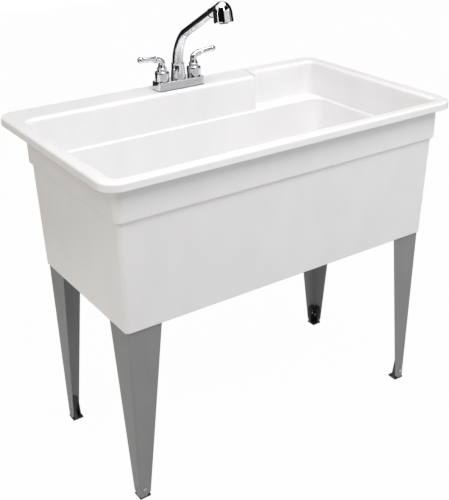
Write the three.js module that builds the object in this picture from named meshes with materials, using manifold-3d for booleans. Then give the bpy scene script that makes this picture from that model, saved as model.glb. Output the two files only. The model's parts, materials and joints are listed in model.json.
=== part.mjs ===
// Utility laundry sink: a moulded tub on four sheet-steel legs, with a deck faucet and a pull-out spray.
// Millimetres. +Z is up, +X is to the right seen from the front, +Y is towards the back.
// The origin is on the floor, under the middle of the rim.
import * as THREE from 'three';
import { mergeVertices } from 'three/addons/utils/BufferGeometryUtils.js';
import Module from 'manifold-3d';

const wasm = await Module();
wasm.setup();

// ---- Clearances and mesh fineness ----
const TOUCH_GAP = 0.3; // between two pieces that touch
const RUNNING_GAP = 0.45; // between two pieces that slide or turn in each other
const OVERCUT = 1; // how far a cutting solid reaches past the face that it opens
const OVERLAP = 1; // how far two solids that are joined run into each other
const NEARLY_SQUARE = 1; // radius of a corner that is drawn as good as square
const CORNER_STEPS = 6; // segments in each rounded corner of the tub
const EDGE_STEPS = 2; // segments across a small rounded edge
const RIM_STEPS = 3; // segments across the rounding from the rim into the basin
const FILLET_STEPS = 4; // segments up the rounding round the basin's floor
const ROUND = 24; // sides of a large round piece
const SMALL_ROUND = 12; // sides of a screw or a small hole
const HEXAGON = 6; // sides of a nut or a spray jet

// ---- Tub: rim, upper band, tapered body and skirt ----
const RIM_WIDTH = 1016;
const RIM_DEPTH = 610;
const RIM_HEIGHT = 870;
const TUB_HEIGHT = 384;
const FLOOR_RISE = 54; // from the skirt's lower edge up to the floor round the drain
const WALL = 6;
const SKIRT_WALL = 5;
const LIP_HEIGHT = 20;
const LIP_WALL = 5;
const LIP_DRAFT = 0.8;
const RIM_CORNER = 46;
const RIM_OUTER_ROUNDING = 6;
const RIM_INNER_ROUNDING = 10;
const BAND_HEIGHT = 103; // from the rim down to the step
const BAND_SIDE_INSET = 33;
const BAND_FRONT_INSET = 29;
const BAND_BACK_INSET = 90; // the rear deck hangs over the body, so the faucet is reached from below
const BAND_DRAFT = 1.5;
const BAND_FRONT_CORNER = 18;
const BAND_BACK_CORNER = 30;
const BODY_STEP = 8;
const BODY_STEP_DROP = 6;
const BODY_SIDE_DRAFT = 6.5;
const BODY_FRONT_DRAFT = 12;
const BODY_BACK_DRAFT = 10;
const BODY_FRONT_CORNER = 12;
const BODY_BACK_CORNER = 22;
const UPPER_CORNER_FILL = 6; // how much rounder the inside of a corner is than its outside
const LOWER_CORNER_FILL = 16;
const LEDGE_ROUNDING = 3;
const FLOOR_FILLET = 30;
const FLOOR_FALL = 8; // the floor falls this much towards the drain
const DRAIN_HOLE = 27;
const DRAIN_LAND = 44; // radius of the level ring round the drain hole

// ---- Recess at the right of the deck, and what stiffens the deck ----
const RECESS_WIDTH = 228;
const RECESS_DEPTH = 45; // how far it goes back from the deck's front wall
const RECESS_LEFT_CORNER = 30;
const RECESS_RIGHT_CORNER = 18;
const DECK_END_ROUNDING = 20;
const DECK_RIB_THICKNESS = 4;
const DECK_RIB_COUNT = 4;
const DECK_RIB_PITCH = 170;
const FIRST_DECK_RIB = -430;
const DECK_PAD_THICKNESS = 4;
const DECK_PAD_MARGIN = 12;

// ---- Legs: bent sheet steel, each an angle that tapers towards the floor ----
const LEG_SHEET = 2;
const LEG_BEND = 5.5;
const LEG_BEND_STEPS = 3;
const LEG_TOP_WIDTH = 89;
const LEG_FOOT_WIDTH = 28.5;
const LEG_CHAMFER = 10;
const LEG_SIDE_COVER = 5; // from the skirt's outside to the leg
const LEG_FRONT_COVER = 5;
const LEG_BACK_COVER = 12.5;
const LEG_SIDE_SPLAY = 8.5; // how much further out the leg is at the tub than at the floor
const LEG_FRONT_SPLAY = 12;
const LEG_BACK_SPLAY = 8;
const SOCKET_WALL = 5;
const LEG_SCREW_INSET = 46; // from the fold to the screw that holds the leg in its socket
const LEG_SCREW_RISE = 26; // above the skirt's lower edge
const LEG_SCREW_RADIUS = 2.1;
const LEG_SCREW_HEAD = 4.5;
const LEG_SCREW_HEAD_HEIGHT = 2.6;
const LEG_SCREW_BITE = 2.4; // how deep the tip goes into the outer wall of the socket

// ---- Levelling feet ----
const FOOT_PAD = 29;
const FOOT_PAD_THICKNESS = 4;
const FOOT_WING_HEIGHT = 62;
const FOOT_WING_THICKNESS = 3;
const FOOT_WING_CORNER = 4.5; // the wings start this far from the leg's inner corner
const FOOT_RIB_DEPTH = 11;
const FOOT_TRAVEL = 15;
const FOOT_SCREW_INSET = 13.5;
const FOOT_SCREW_HEIGHT = 27;
const FOOT_SCREW_RADIUS = 2.5;
const FOOT_SCREW_HEAD = 4.6;
const FOOT_SCREW_HEAD_HEIGHT = 2.8;
const FOOT_SCREW_END = 2.8; // how far the screw's end stands out of its nut
const FOOT_NUT_RADIUS = 4.6;
const FOOT_NUT_THICKNESS = 4;

// ---- Drain ----
const STRAINER_TUBE = 25;
const STRAINER_BORE = 22.5;
const STRAINER_FLANGE = 36;
const STRAINER_FLANGE_HEIGHT = 3;
const STRAINER_LENGTH = 50;
const STRAINER_BAR = 3;
const STRAINER_BAR_DROP = 7;
const DRAIN_GASKET_THICKNESS = 2.7;
const DRAIN_GASKET_RADIUS = 38;
const DRAIN_NUT_RADIUS = 38;
const DRAIN_NUT_HEIGHT = 10;
const TAILPIECE_RADIUS = 19.05; // the usual inch-and-a-half drain tube
const TAILPIECE_WALL = 1.5;
const TAILPIECE_LENGTH = 72;
const TAILPIECE_FLANGE_HEIGHT = 2.5;
const SLIP_WASHER_HEIGHT = 2.4;
const SLIP_NUT_RADIUS = 31;
const SLIP_NUT_LIP = 3.5;
const SLIP_NUT_GRIP = 12;
const STOPPER_PLUG_DEPTH = 5;
const STOPPER_PLUG_TAPER = 1;
const STOPPER_RIM = 27;
const STOPPER_RIM_HEIGHT = 4;
const STOPPER_DOME = 3;
const STOPPER_KNOB = 7; // radius of the knob's widest ring
const STOPPER_KNOB_END = 4.9; // radius of its foot and its top
const STOPPER_KNOB_WAIST = 3.5;
const STOPPER_KNOB_WAIST_RISE = 4.8; // from the knob's foot up to its waist
const STOPPER_KNOB_RING_RISE = 9; // from the knob's foot up to its widest ring
const STOPPER_KNOB_HEIGHT = 12;

// ---- Faucet: base, valves and levers ----
const FAUCET_X = -3.5;
const FAUCET_FROM_BACK = 58; // from the rim's back edge to the line through the valves
const VALVE_SPACING = 101.6; // four inches
const BASE_LENGTH = 147;
const BASE_DEPTH = 48;
const BASE_CORNER = 11;
const BASE_HEIGHT = 22;
const BASE_WALL = 2.4;
const BASE_DRAFT = 0.8;
const BASE_ROUNDING = 2.4;
const BASE_GASKET = 1.2;
const BRIDGE_DEPTH = 30;
const BRIDGE_HEIGHT = 12;
const BRIDGE_MARGIN = 14;
const PASSAGE_RADIUS = 2.2;
const PASSAGE_OFFSET = 11;
const PASSAGE_RISE = 4; // above the bridge's foot
const OUTLET_RADIUS = 3.8;
const OUTLET_LENGTH = 18;
const HOSE_GUIDE = 6.8;
const SHANK_RADIUS = 10.3;
const SHANK_BORE = 6;
const SHANK_LENGTH = 58; // below the deck's top
const DECK_HOLE = 14;
const DECK_CENTRE_HOLE = 17;
const VALVE_BOSS = 14;
const VALVE_BOSS_RISE = 3.5; // above the base's top
const CARTRIDGE_RADIUS = 10.6;
const CARTRIDGE_SEAT = 11; // from the base's top down to the cartridge's foot
const CARTRIDGE_NECK = 8.6;
const CARTRIDGE_SHOULDER = 1; // how far the wide part stands out of the valve body
const CARTRIDGE_RISE = 14.5;
const STEM_RADIUS = 4;
const STEM_DEPTH = 12;
const STEM_RISE = 16; // how far the stem goes up into the lever
const BONNET_FOOT = 18.4;
const BONNET_RADIUS = 19.6; // at the shoulder
const BONNET_SHOULDER = 21; // height at which the bell starts to close in
const BONNET_NECK = 12.4;
const BONNET_NECK_FOOT = 28.5; // height at which the bell has closed in to the neck
const BONNET_HEIGHT = 33;
const BONNET_WALL = 2.4;
const BONNET_STEPS = 5;
const MOUNTING_WASHER = 20;
const MOUNTING_WASHER_THICKNESS = 2;
const MOUNTING_NUT = 16.5;
const MOUNTING_NUT_HEIGHT = 10;
const MOUNTING_WING = 24;
const MOUNTING_WING_THICKNESS = 5;
const MOUNTING_WING_DROP = 1; // from the nut's top down to the wings
const LEVER_SKIRT = 13.6;
const LEVER_SKIRT_EDGE = 2.2; // height of the skirt's upright edge
const LEVER_HUB = 8.9;
const LEVER_HUB_HEIGHT = 17; // from the lever's foot to where its arm starts to bend
const LEVER_FLARE_STEPS = 4;
const LEVER_RISE = 33.5; // from the lever's foot to the middle of its tip
const LEVER_REACH = 63;
const LEVER_HUB_HANDLE = 7.5; // how stiffly the arm's bend leaves the hub
const LEVER_ELBOW_REACH = 13; // where the bend's second handle stands, along the lever
const LEVER_ELBOW_DROP = 3.5; // and below its tip
const LEVER_BEND_SHARE = 0.4; // of the arm's curve
const LEVER_STEPS = 12;
const LEVER_ARM = 8.4;
const LEVER_ARM_TIP = 6.9;
const LEVER_BALL = 8.8;
const LEVER_BALL_ROWS = 10;
const LEVER_BEAD = 9.3;
const LEVER_BEAD_WIDTH = 3;
const LEVER_BEAD_SHARE = 0.6; // of the arm's curve, where the bead sits
const LEVER_SCREW_RADIUS = 2;
const LEVER_SCREW_RISE = 8;
const LEVER_SCREW_LENGTH = 4.6;

// ---- Faucet: swivelling spout ----
const COLLAR_RADIUS = 20.4;
const COLLAR_TOP = 17.2;
const COLLAR_HEIGHT = 44;
const COLLAR_RING = 17.9;
const COLLAR_RING_HEIGHT = 5;
const COLLAR_RING_EDGE = 1.25; // bevel of the ring's edges
const SPOUT_SEAL_THICKNESS = 2.4;
const TOWER_RADIUS = 14.2;
const POST_HEIGHT = 26; // how far the valve body's post goes up into the spout
const NECK_RADIUS = 14.6;
const ARM_RADIUS = 11.6;
const SPOUT_WALL = 2.3;
const NECK_STRAIGHT = 48; // from the base's top to where the neck starts to lean
const BEND_RISE = 88;
const BEND_REACH = 50;
const BEND_NECK_HANDLE = 30; // how stiffly the bend leaves the neck
const BEND_ARM_HANDLE = 30; // how stiffly it enters the arm
const BEND_STEPS = 9;
const ARM_LENGTH = 144;
const ARM_SLOPE = THREE.MathUtils.degToRad(29);

// ---- Faucet: spray head, which pulls out along the arm ----
const BUSH_LENGTH = 20;
const BUSH_WALL = 1.8;
const SPIGOT_RADIUS = 6.7;
const SPIGOT_LENGTH = 22;
const WATERWAY = 4;
const HOSE_RADIUS = 5.8;
const HOSE_BORE = 3.4;
const HOSE_LENGTH = 108;
const SPRAY_RING = 12.6;
const SPRAY_RING_THICKNESS = 2.4;
const SPRAY_NECK = 11.6;
const HEAD_DISTANCE = 57; // from the arm's end to the head's own axis
const HEAD_DROP = 42; // from the arm's axis down to the head's lower edge
const HEAD_HEIGHT = 53;
const HEAD_RADIUS = 25; // at its widest, just above the lower edge
const HEAD_EDGE_RADIUS = 24.4; // at the lower edge
const HEAD_EDGE_HEIGHT = 2.6;
const HEAD_DOME_RADIUS = 24.2; // where the dome begins
const HEAD_DOME_FOOT = 20;
const HEAD_DOME_STEPS = 6;
const HEAD_WALL = 3;
const HEAD_CAVITY = 32; // height of the hollow under the dome
const HEAD_CAVITY_SIDE = 21; // height of its upright side
const HEAD_TILT = THREE.MathUtils.degToRad(10);
const FACE_THICKNESS = 3;
const FACE_RECESS = 1;
const AERATOR_RADIUS = 11.4;
const AERATOR_LENGTH = 7.5;
const AERATOR_BORE = 8.4;
const AERATOR_PROUD = 4;
const JET_COUNT = 12;
const JET_RADIUS = 1.1;
const JET_CIRCLE = 16.4;

// ---- Heights that follow from the driving sizes ----
const SKIRT_BOTTOM = RIM_HEIGHT - TUB_HEIGHT;
const BAND_BOTTOM = RIM_HEIGHT - BAND_HEIGHT;
const BODY_TOP = BAND_BOTTOM - BODY_STEP_DROP;
const FLOOR = SKIRT_BOTTOM + FLOOR_RISE;
const FLOOR_EDGE = FLOOR + FLOOR_FALL;
const UNDERSIDE = FLOOR_EDGE - WALL;
const LEG_TOP = UNDERSIDE - TOUCH_GAP;
const LEG_BOTTOM = FOOT_PAD_THICKNESS + TOUCH_GAP;

// ---- Materials ----
const material = (color, roughness, metalness) =>
  new THREE.MeshStandardMaterial({ color, roughness, metalness });
const whitePlastic = () => material('#e9e9e6', 0.5, 0);
const greySteel = () => material('#85888a', 0.45, 0.35);
const blackPlastic = () => material('#17181a', 0.6, 0);
const zincSteel = () => material('#b9bcc0', 0.35, 0.9);
const stainless = () => material('#c3c6c8', 0.28, 1);
const chrome = () => material('#e4e6e8', 0.08, 1);
const brass = () => material('#b8964e', 0.35, 1);
const rubber = () => material('#1c1c1d', 0.85, 0);
const greyPlastic = () => material('#9a9d9f', 0.5, 0);
const hoseNylon = () => material('#3c3e42', 0.6, 0);

// ---- Closed solids and booleans ----

// Turns a closed geometry into indexed triangles with shared corners and outward faces.
function closedTriangles(geometry) {
  const bare = geometry.clone();
  bare.deleteAttribute('normal');
  bare.deleteAttribute('uv');
  const merged = mergeVertices(bare, 1e-4);
  const position = merged.getAttribute('position');
  const index = Array.from(merged.index.array);
  const triangles = [];
  let volume = 0;
  const a = new THREE.Vector3();
  const b = new THREE.Vector3();
  const c = new THREE.Vector3();
  for (let i = 0; i < index.length; i += 3) {
    const [p, q, r] = index.slice(i, i + 3);
    if (p === q || q === r || r === p) continue;
    a.fromBufferAttribute(position, p);
    b.fromBufferAttribute(position, q);
    c.fromBufferAttribute(position, r);
    volume += a.dot(b.cross(c));
    triangles.push([p, q, r]);
  }
  const outward = volume > 0 ? triangles : triangles.map(([p, q, r]) => [p, r, q]);
  return { vertices: Float32Array.from(position.array), triangles: Uint32Array.from(outward.flat()) };
}

function manifoldOf(geometry) {
  const { vertices, triangles } = closedTriangles(geometry);
  const mesh = new wasm.Mesh({ numProp: 3, vertProperties: vertices, triVerts: triangles });
  return new wasm.Manifold(mesh);
}

function geometryOf(solid) {
  const mesh = solid.getMesh();
  const geometry = new THREE.BufferGeometry();
  geometry.setAttribute('position', new THREE.BufferAttribute(Float32Array.from(mesh.vertProperties), 3));
  geometry.setIndex(Array.from(mesh.triVerts));
  return geometry;
}

function join(geometries) {
  return geometryOf(geometries.map(manifoldOf).reduce((whole, piece) => whole.add(piece)));
}

function cut(geometry, tools) {
  const whole = manifoldOf(geometry);
  return geometryOf(tools.map(manifoldOf).reduce((rest, tool) => rest.subtract(tool), whole));
}

function overlap(geometry, other) {
  return geometryOf(manifoldOf(geometry).intersect(manifoldOf(other)));
}

// ---- Basic shapes ----

function box([x0, x1], [y0, y1], [z0, z1]) {
  const geometry = new THREE.BoxGeometry(x1 - x0, y1 - y0, z1 - z0);
  return geometry.translate((x0 + x1) / 2, (y0 + y1) / 2, (z0 + z1) / 2);
}

// A round bar along Z, centred on the point x, y.
function bar(radius, z0, z1, { x = 0, y = 0, sides = ROUND } = {}) {
  const geometry = new THREE.CylinderGeometry(radius, radius, z1 - z0, sides);
  return geometry.rotateX(Math.PI / 2).translate(x, y, (z0 + z1) / 2);
}

// A round bar along X or Y, from one coordinate to the other.
function barAlongX(radius, x0, x1, { y = 0, z = 0, sides = SMALL_ROUND } = {}) {
  const geometry = new THREE.CylinderGeometry(radius, radius, Math.abs(x1 - x0), sides);
  return geometry.rotateZ(Math.PI / 2).translate((x0 + x1) / 2, y, z);
}

function barAlongY(radius, y0, y1, { x = 0, z = 0, sides = SMALL_ROUND } = {}) {
  return new THREE.CylinderGeometry(radius, radius, Math.abs(y1 - y0), sides).translate(x, (y0 + y1) / 2, z);
}

// Turns a profile of [radius, z] points round the Z axis. A ring's profile ends where it starts.
function turned(profile, sides = ROUND) {
  const points = profile.map(([radius, z]) => new THREE.Vector2(radius, z));
  return new THREE.LatheGeometry(points, sides).rotateX(Math.PI / 2);
}

function tube(outer, inner, z0, z1, sides = ROUND) {
  return turned([[inner, z0], [outer, z0], [outer, z1], [inner, z1], [inner, z0]], sides);
}

function hexNut(radius, bore, z0, z1) {
  return cut(bar(radius, z0, z1, { sides: HEXAGON }), [bar(bore, z0 - OVERCUT, z1 + OVERCUT)]);
}

// Joins rings of equally many points. The last ring meets the first, or both ends are capped.
function loft(rings, { closed = false } = {}) {
  const rows = closed ? [...rings, rings[0]] : rings;
  const columns = rings[0].length;
  const points = rows.flatMap((ring) => [...ring, ring[0]]);
  const geometry = new THREE.PlaneGeometry(1, 1, columns, rows.length - 1);
  geometry.setAttribute('position', new THREE.Float32BufferAttribute(points.flat(), 3));
  if (closed) return geometry;
  const last = (rows.length - 1) * (columns + 1);
  const firstCap = capFaces(rings[0]);
  const lastCap = capFaces(rings.at(-1)).map(([p, q, r]) => [last + p, last + r, last + q]);
  geometry.setIndex([...geometry.index.array, ...firstCap.flat(), ...lastCap.flat()]);
  return geometry;
}

// Fills a flat ring, seen along the axis that it faces most, with the ring's own turning sense.
function capFaces(ring) {
  const normal = new THREE.Vector3();
  ring.forEach((point, i) => {
    const next = ring[(i + 1) % ring.length];
    normal.x += (point[1] - next[1]) * (point[2] + next[2]);
    normal.y += (point[2] - next[2]) * (point[0] + next[0]);
    normal.z += (point[0] - next[0]) * (point[1] + next[1]);
  });
  const size = normal.toArray().map(Math.abs);
  const drop = size.indexOf(Math.max(...size));
  const [u, v] = [0, 1, 2].filter((axis) => axis !== drop);
  const outline = ring.map((point) => new THREE.Vector2(point[u], point[v]));
  const faces = THREE.ShapeUtils.triangulateShape(outline, []);
  const clockwise = THREE.ShapeUtils.isClockWise(outline);
  const [p, q, r] = faces[0];
  const turn = (outline[q].x - outline[p].x) * (outline[r].y - outline[p].y)
    - (outline[r].x - outline[p].x) * (outline[q].y - outline[p].y);
  return (turn < 0) === clockwise ? faces : faces.map(([a, b, c]) => [a, c, b]);
}

// A rounded rectangle at height z, its four corner radii given from back right round by the left.
function roundedRing({ left, right, near, far, radii, z }) {
  const [backRight, backLeft, frontLeft, frontRight] = radii;
  const corners = [
    [right - backRight, far - backRight, backRight],
    [left + backLeft, far - backLeft, backLeft],
    [left + frontLeft, near + frontLeft, frontLeft],
    [right - frontRight, near + frontRight, frontRight],
  ];
  return corners.flatMap(([x, y, radius], corner) =>
    Array.from({ length: CORNER_STEPS + 1 }, (_, step) => {
      const angle = (corner + step / CORNER_STEPS) * Math.PI / 2;
      return [x + radius * Math.cos(angle), y + radius * Math.sin(angle), z];
    }));
}

// A circle with as many points as a rounded ring, in the same order.
function circleRing(x, y, radius, z) {
  const count = 4 * (CORNER_STEPS + 1);
  return Array.from({ length: count }, (_, i) => {
    const angle = (i + 0.5) / count * 2 * Math.PI;
    return [x + radius * Math.cos(angle), y + radius * Math.sin(angle), z];
  });
}

// A rounded block centred on the origin, from rings of [length, depth, corner, z].
function roundedBlock(levels) {
  return loft(levels.map(([length, depth, corner, z]) => roundedRing({
    left: -length / 2,
    right: length / 2,
    near: -depth / 2,
    far: depth / 2,
    radii: [corner, corner, corner, corner],
    z,
  })));
}

function meshOf(name, geometry, look) {
  const { vertices, triangles } = closedTriangles(geometry);
  const clean = new THREE.BufferGeometry();
  clean.setAttribute('position', new THREE.BufferAttribute(vertices, 3));
  clean.setIndex(Array.from(triangles));
  clean.computeVertexNormals();
  const mesh = new THREE.Mesh(clean, look);
  mesh.name = name;
  return mesh;
}

// ---- Tub ----

// How far each wall of the tub stands in from the rim's outline, and the radii of its corners.
const insets = (side, front, back, frontCorner, backCorner) =>
  ({ side, front, back, frontCorner, backCorner });

const bandFoot = insets(
  BAND_SIDE_INSET,
  BAND_FRONT_INSET,
  BAND_BACK_INSET,
  BAND_FRONT_CORNER,
  BAND_BACK_CORNER,
);
const bandTop = grow(bandFoot, BAND_DRAFT);
const bodyTop = {
  ...grow(bandFoot, -BODY_STEP),
  frontCorner: BODY_FRONT_CORNER,
  backCorner: BODY_BACK_CORNER,
};
const bodyFoot = bodyWall(SKIRT_BOTTOM);
const rimEdge = insets(0, 0, 0, RIM_CORNER, RIM_CORNER);

// Moves every wall outwards by one distance, and rounds the corners by as much.
function grow(wall, distance) {
  return insets(
    wall.side - distance,
    wall.front - distance,
    wall.back - distance,
    Math.max(wall.frontCorner + distance, NEARLY_SQUARE),
    Math.max(wall.backCorner + distance, NEARLY_SQUARE),
  );
}

// Gives the corners their extra inside rounding.
function filled(wall, fill) {
  return { ...wall, frontCorner: wall.frontCorner + fill, backCorner: wall.backCorner + fill };
}

// The body's outside at one height, between its top and the skirt's lower edge.
function bodyWall(z) {
  const share = (BODY_TOP - z) / (BODY_TOP - SKIRT_BOTTOM);
  return {
    ...bodyTop,
    side: bodyTop.side + BODY_SIDE_DRAFT * share,
    front: bodyTop.front + BODY_FRONT_DRAFT * share,
    back: bodyTop.back + BODY_BACK_DRAFT * share,
  };
}

function tubRing(wall, z) {
  return roundedRing({
    left: wall.side - RIM_WIDTH / 2,
    right: RIM_WIDTH / 2 - wall.side,
    near: wall.front - RIM_DEPTH / 2,
    far: RIM_DEPTH / 2 - wall.back,
    radii: [wall.backCorner, wall.backCorner, wall.frontCorner, wall.frontCorner],
    z,
  });
}

// A quarter round in even steps, as shares of its radius along and across.
const quarterRound = (steps) => Array.from({ length: steps + 1 }, (_, i) => {
  const angle = i / steps * Math.PI / 2;
  return [1 - Math.cos(angle), Math.sin(angle)];
});

const upperInside = filled(grow(bandTop, -WALL), UPPER_CORNER_FILL);
const ledgeOuter = filled(grow(bandFoot, -WALL), UPPER_CORNER_FILL);
const lowerInside = (z) => filled(grow(bodyWall(z), -WALL), LOWER_CORNER_FILL);
const filletTop = FLOOR_EDGE + FLOOR_FILLET;
const floorWall = lowerInside(filletTop);
const drainY = (floorWall.front - floorWall.back) / 2;

// The inside of the basin from the rounded edge of the ledge up to the rim's top.
function upperBasinRings() {
  const ledgeInside = lowerInside(BAND_BOTTOM);
  const ledge = quarterRound(EDGE_STEPS).map(([across, along]) =>
    tubRing(grow(ledgeInside, LEDGE_ROUNDING * across), BAND_BOTTOM - LEDGE_ROUNDING * (1 - along)));
  const rim = quarterRound(RIM_STEPS).map(([across, along]) =>
    tubRing(grow(upperInside, RIM_INNER_ROUNDING * across), RIM_HEIGHT - RIM_INNER_ROUNDING * (1 - along)));
  return [...ledge, tubRing(ledgeOuter, BAND_BOTTOM), ...rim];
}

// One closed surface: from the drain up the inside, over the rim and lip, and back underneath.
function shellGeometry() {
  const fillet = quarterRound(FILLET_STEPS).reverse().map(([across, along]) =>
    tubRing(grow(floorWall, -FLOOR_FILLET * across), filletTop - FLOOR_FILLET * along));
  const lipTop = grow(rimEdge, -LIP_DRAFT);
  const rimOutside = quarterRound(EDGE_STEPS).reverse().map(([across, along]) =>
    tubRing(grow(lipTop, -RIM_OUTER_ROUNDING * across), RIM_HEIGHT - RIM_OUTER_ROUNDING * (1 - along)));
  return loft([
    circleRing(0, drainY, DRAIN_HOLE, FLOOR),
    circleRing(0, drainY, DRAIN_LAND, FLOOR),
    ...fillet,
    ...upperBasinRings(),
    ...rimOutside,
    tubRing(rimEdge, RIM_HEIGHT - LIP_HEIGHT),
    tubRing(grow(rimEdge, -LIP_WALL), RIM_HEIGHT - LIP_HEIGHT),
    tubRing(grow(rimEdge, -LIP_WALL - LIP_DRAFT), RIM_HEIGHT - WALL),
    tubRing(bandTop, RIM_HEIGHT - WALL),
    tubRing(bandFoot, BAND_BOTTOM),
    tubRing(bodyTop, BODY_TOP),
    tubRing(bodyFoot, SKIRT_BOTTOM),
    tubRing(grow(bodyFoot, -SKIRT_WALL), SKIRT_BOTTOM),
    tubRing(grow(bodyWall(UNDERSIDE), -SKIRT_WALL), UNDERSIDE),
    tubRing(grow(bodyWall(UNDERSIDE), -LEG_TOP_WIDTH), UNDERSIDE),
    circleRing(0, drainY, DRAIN_LAND, FLOOR - WALL),
    circleRing(0, drainY, DRAIN_HOLE, FLOOR - WALL),
  ], { closed: true });
}

// The open space of the basin round and above the ledge, which later additions must leave free.
function basinSpace() {
  const lowest = BODY_TOP - WALL;
  const above = tubRing(grow(upperInside, RIM_INNER_ROUNDING), RIM_HEIGHT + OVERCUT);
  return loft([tubRing(lowerInside(lowest), lowest), ...upperBasinRings(), above]);
}

// The recess is a pocket cut out of the deck, inside a box that carries its walls and floor.
const deckFront = RIM_DEPTH / 2 - upperInside.back;
const recessRight = RIM_WIDTH / 2 - upperInside.side;
const recessLeft = recessRight - RECESS_WIDTH;
const recessBack = deckFront + RECESS_DEPTH;

// A block with an upright outside that follows the band's right side up to the rim.
function besideBand(left, near, far, radii) {
  const level = (wall, z) => roundedRing({ left, right: RIM_WIDTH / 2 - wall.side, near, far, radii, z });
  return loft([level(bandFoot, BAND_BOTTOM - WALL), level(bandTop, RIM_HEIGHT - WALL / 2)]);
}

function recessBox() {
  const bodyBack = RIM_DEPTH / 2 - bodyTop.back;
  const bodyRight = RIM_WIDTH / 2 - bodyTop.side;
  const roomBehind = besideBand(
    recessLeft - WALL,
    bodyBack - OVERLAP,
    recessBack + WALL,
    [RECESS_RIGHT_CORNER + WALL, RECESS_LEFT_CORNER + WALL, NEARLY_SQUARE, NEARLY_SQUARE],
  );
  const squaredCorner = besideBand(
    bodyRight - BODY_BACK_CORNER,
    deckFront - upperInside.backCorner,
    deckFront + WALL,
    [NEARLY_SQUARE, NEARLY_SQUARE, NEARLY_SQUARE, NEARLY_SQUARE],
  );
  return cut(join([roomBehind, squaredCorner]), [basinSpace()]);
}

function recessPocket() {
  const near = deckFront - upperInside.backCorner - RIM_INNER_ROUNDING;
  const level = (right, spread, z) => roundedRing({
    left: recessLeft - spread,
    right: right + spread,
    near,
    far: recessBack + spread,
    radii: [RECESS_RIGHT_CORNER + spread, RECESS_LEFT_CORNER + spread, NEARLY_SQUARE, NEARLY_SQUARE],
    z,
  });
  const rounding = quarterRound(RIM_STEPS).map(([across, along]) =>
    level(recessRight, RIM_INNER_ROUNDING * across, RIM_HEIGHT - RIM_INNER_ROUNDING * (1 - along)));
  const above = level(recessRight, RIM_INNER_ROUNDING, RIM_HEIGHT + OVERCUT);
  return loft([level(RIM_WIDTH / 2 - ledgeOuter.side, 0, BAND_BOTTOM), ...rounding, above]);
}

// Rounds the upright edge where the deck ends at the recess, following the rim's own rounding.
function deckEndTool() {
  const level = (front, spread, z) => {
    const x = recessLeft - spread - DECK_END_ROUNDING;
    const y = front + spread + DECK_END_ROUNDING;
    const arc = Array.from({ length: CORNER_STEPS + 1 }, (_, step) => {
      const angle = Math.PI / 2 * (step / CORNER_STEPS - 1);
      return [x + DECK_END_ROUNDING * Math.cos(angle), y + DECK_END_ROUNDING * Math.sin(angle), z];
    });
    const outerX = x + DECK_END_ROUNDING + OVERCUT;
    const outerY = y - DECK_END_ROUNDING - OVERCUT;
    return [...arc, [outerX, y, z], [outerX, outerY, z], [x, outerY, z]];
  };
  const rounding = quarterRound(RIM_STEPS).map(([across, along]) =>
    level(deckFront, RIM_INNER_ROUNDING * across, RIM_HEIGHT - RIM_INNER_ROUNDING * (1 - along)));
  const foot = level(RIM_DEPTH / 2 - ledgeOuter.back, 0, BAND_BOTTOM);
  return loft([foot, ...rounding, level(deckFront, RIM_INNER_ROUNDING, RIM_HEIGHT + OVERCUT)]);
}

const faucetY = RIM_DEPTH / 2 - FAUCET_FROM_BACK;
const valveX = VALVE_SPACING / 2;
const deckUnderside = [RIM_DEPTH / 2 - bandTop.back - OVERLAP, RIM_DEPTH / 2 - LIP_WALL / 2];

function deckStiffening() {
  const plate = RIM_HEIGHT - WALL / 2;
  const ribs = Array.from({ length: DECK_RIB_COUNT }, (_, i) => {
    const x = FIRST_DECK_RIB + i * DECK_RIB_PITCH;
    return box([x, x + DECK_RIB_THICKNESS], deckUnderside, [RIM_HEIGHT - LIP_HEIGHT, plate]);
  });
  const padHalf = valveX + MOUNTING_WING + DECK_PAD_MARGIN;
  const padWidth = [FAUCET_X - padHalf, FAUCET_X + padHalf];
  return [...ribs, box(padWidth, deckUnderside, [RIM_HEIGHT - WALL - DECK_PAD_THICKNESS, plate])];
}

function deckHoles() {
  const heights = [RIM_HEIGHT - WALL - DECK_PAD_THICKNESS - OVERCUT, RIM_HEIGHT + OVERCUT];
  const hole = (radius, x) => bar(radius, ...heights, { x: FAUCET_X + x, y: faucetY });
  return [hole(DECK_HOLE, -valveX), hole(DECK_HOLE, valveX), hole(DECK_CENTRE_HOLE, 0)];
}

// ---- Leg sockets and legs ----
// Each corner is built with its outward directions positive, and is mirrored into its place.

const corners = [
  { name: 'front_left', signX: -1, signY: -1, screwOnSide: false },
  { name: 'front_right', signX: 1, signY: -1, screwOnSide: false },
  { name: 'back_left', signX: -1, signY: 1, screwOnSide: true },
  { name: 'back_right', signX: 1, signY: 1, screwOnSide: true },
];

// The outside corner of the leg's fold at height z.
function legFold(corner, z) {
  const front = corner.signY < 0;
  const cover = front ? LEG_FRONT_COVER : LEG_BACK_COVER;
  const inset = front ? bodyFoot.front : bodyFoot.back;
  const splay = front ? LEG_FRONT_SPLAY : LEG_BACK_SPLAY;
  const below = (SKIRT_BOTTOM - z) / SKIRT_BOTTOM;
  return {
    u: RIM_WIDTH / 2 - bodyFoot.side - LEG_SIDE_COVER - LEG_SIDE_SPLAY * below,
    v: RIM_DEPTH / 2 - inset - cover - splay * below,
  };
}

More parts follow.
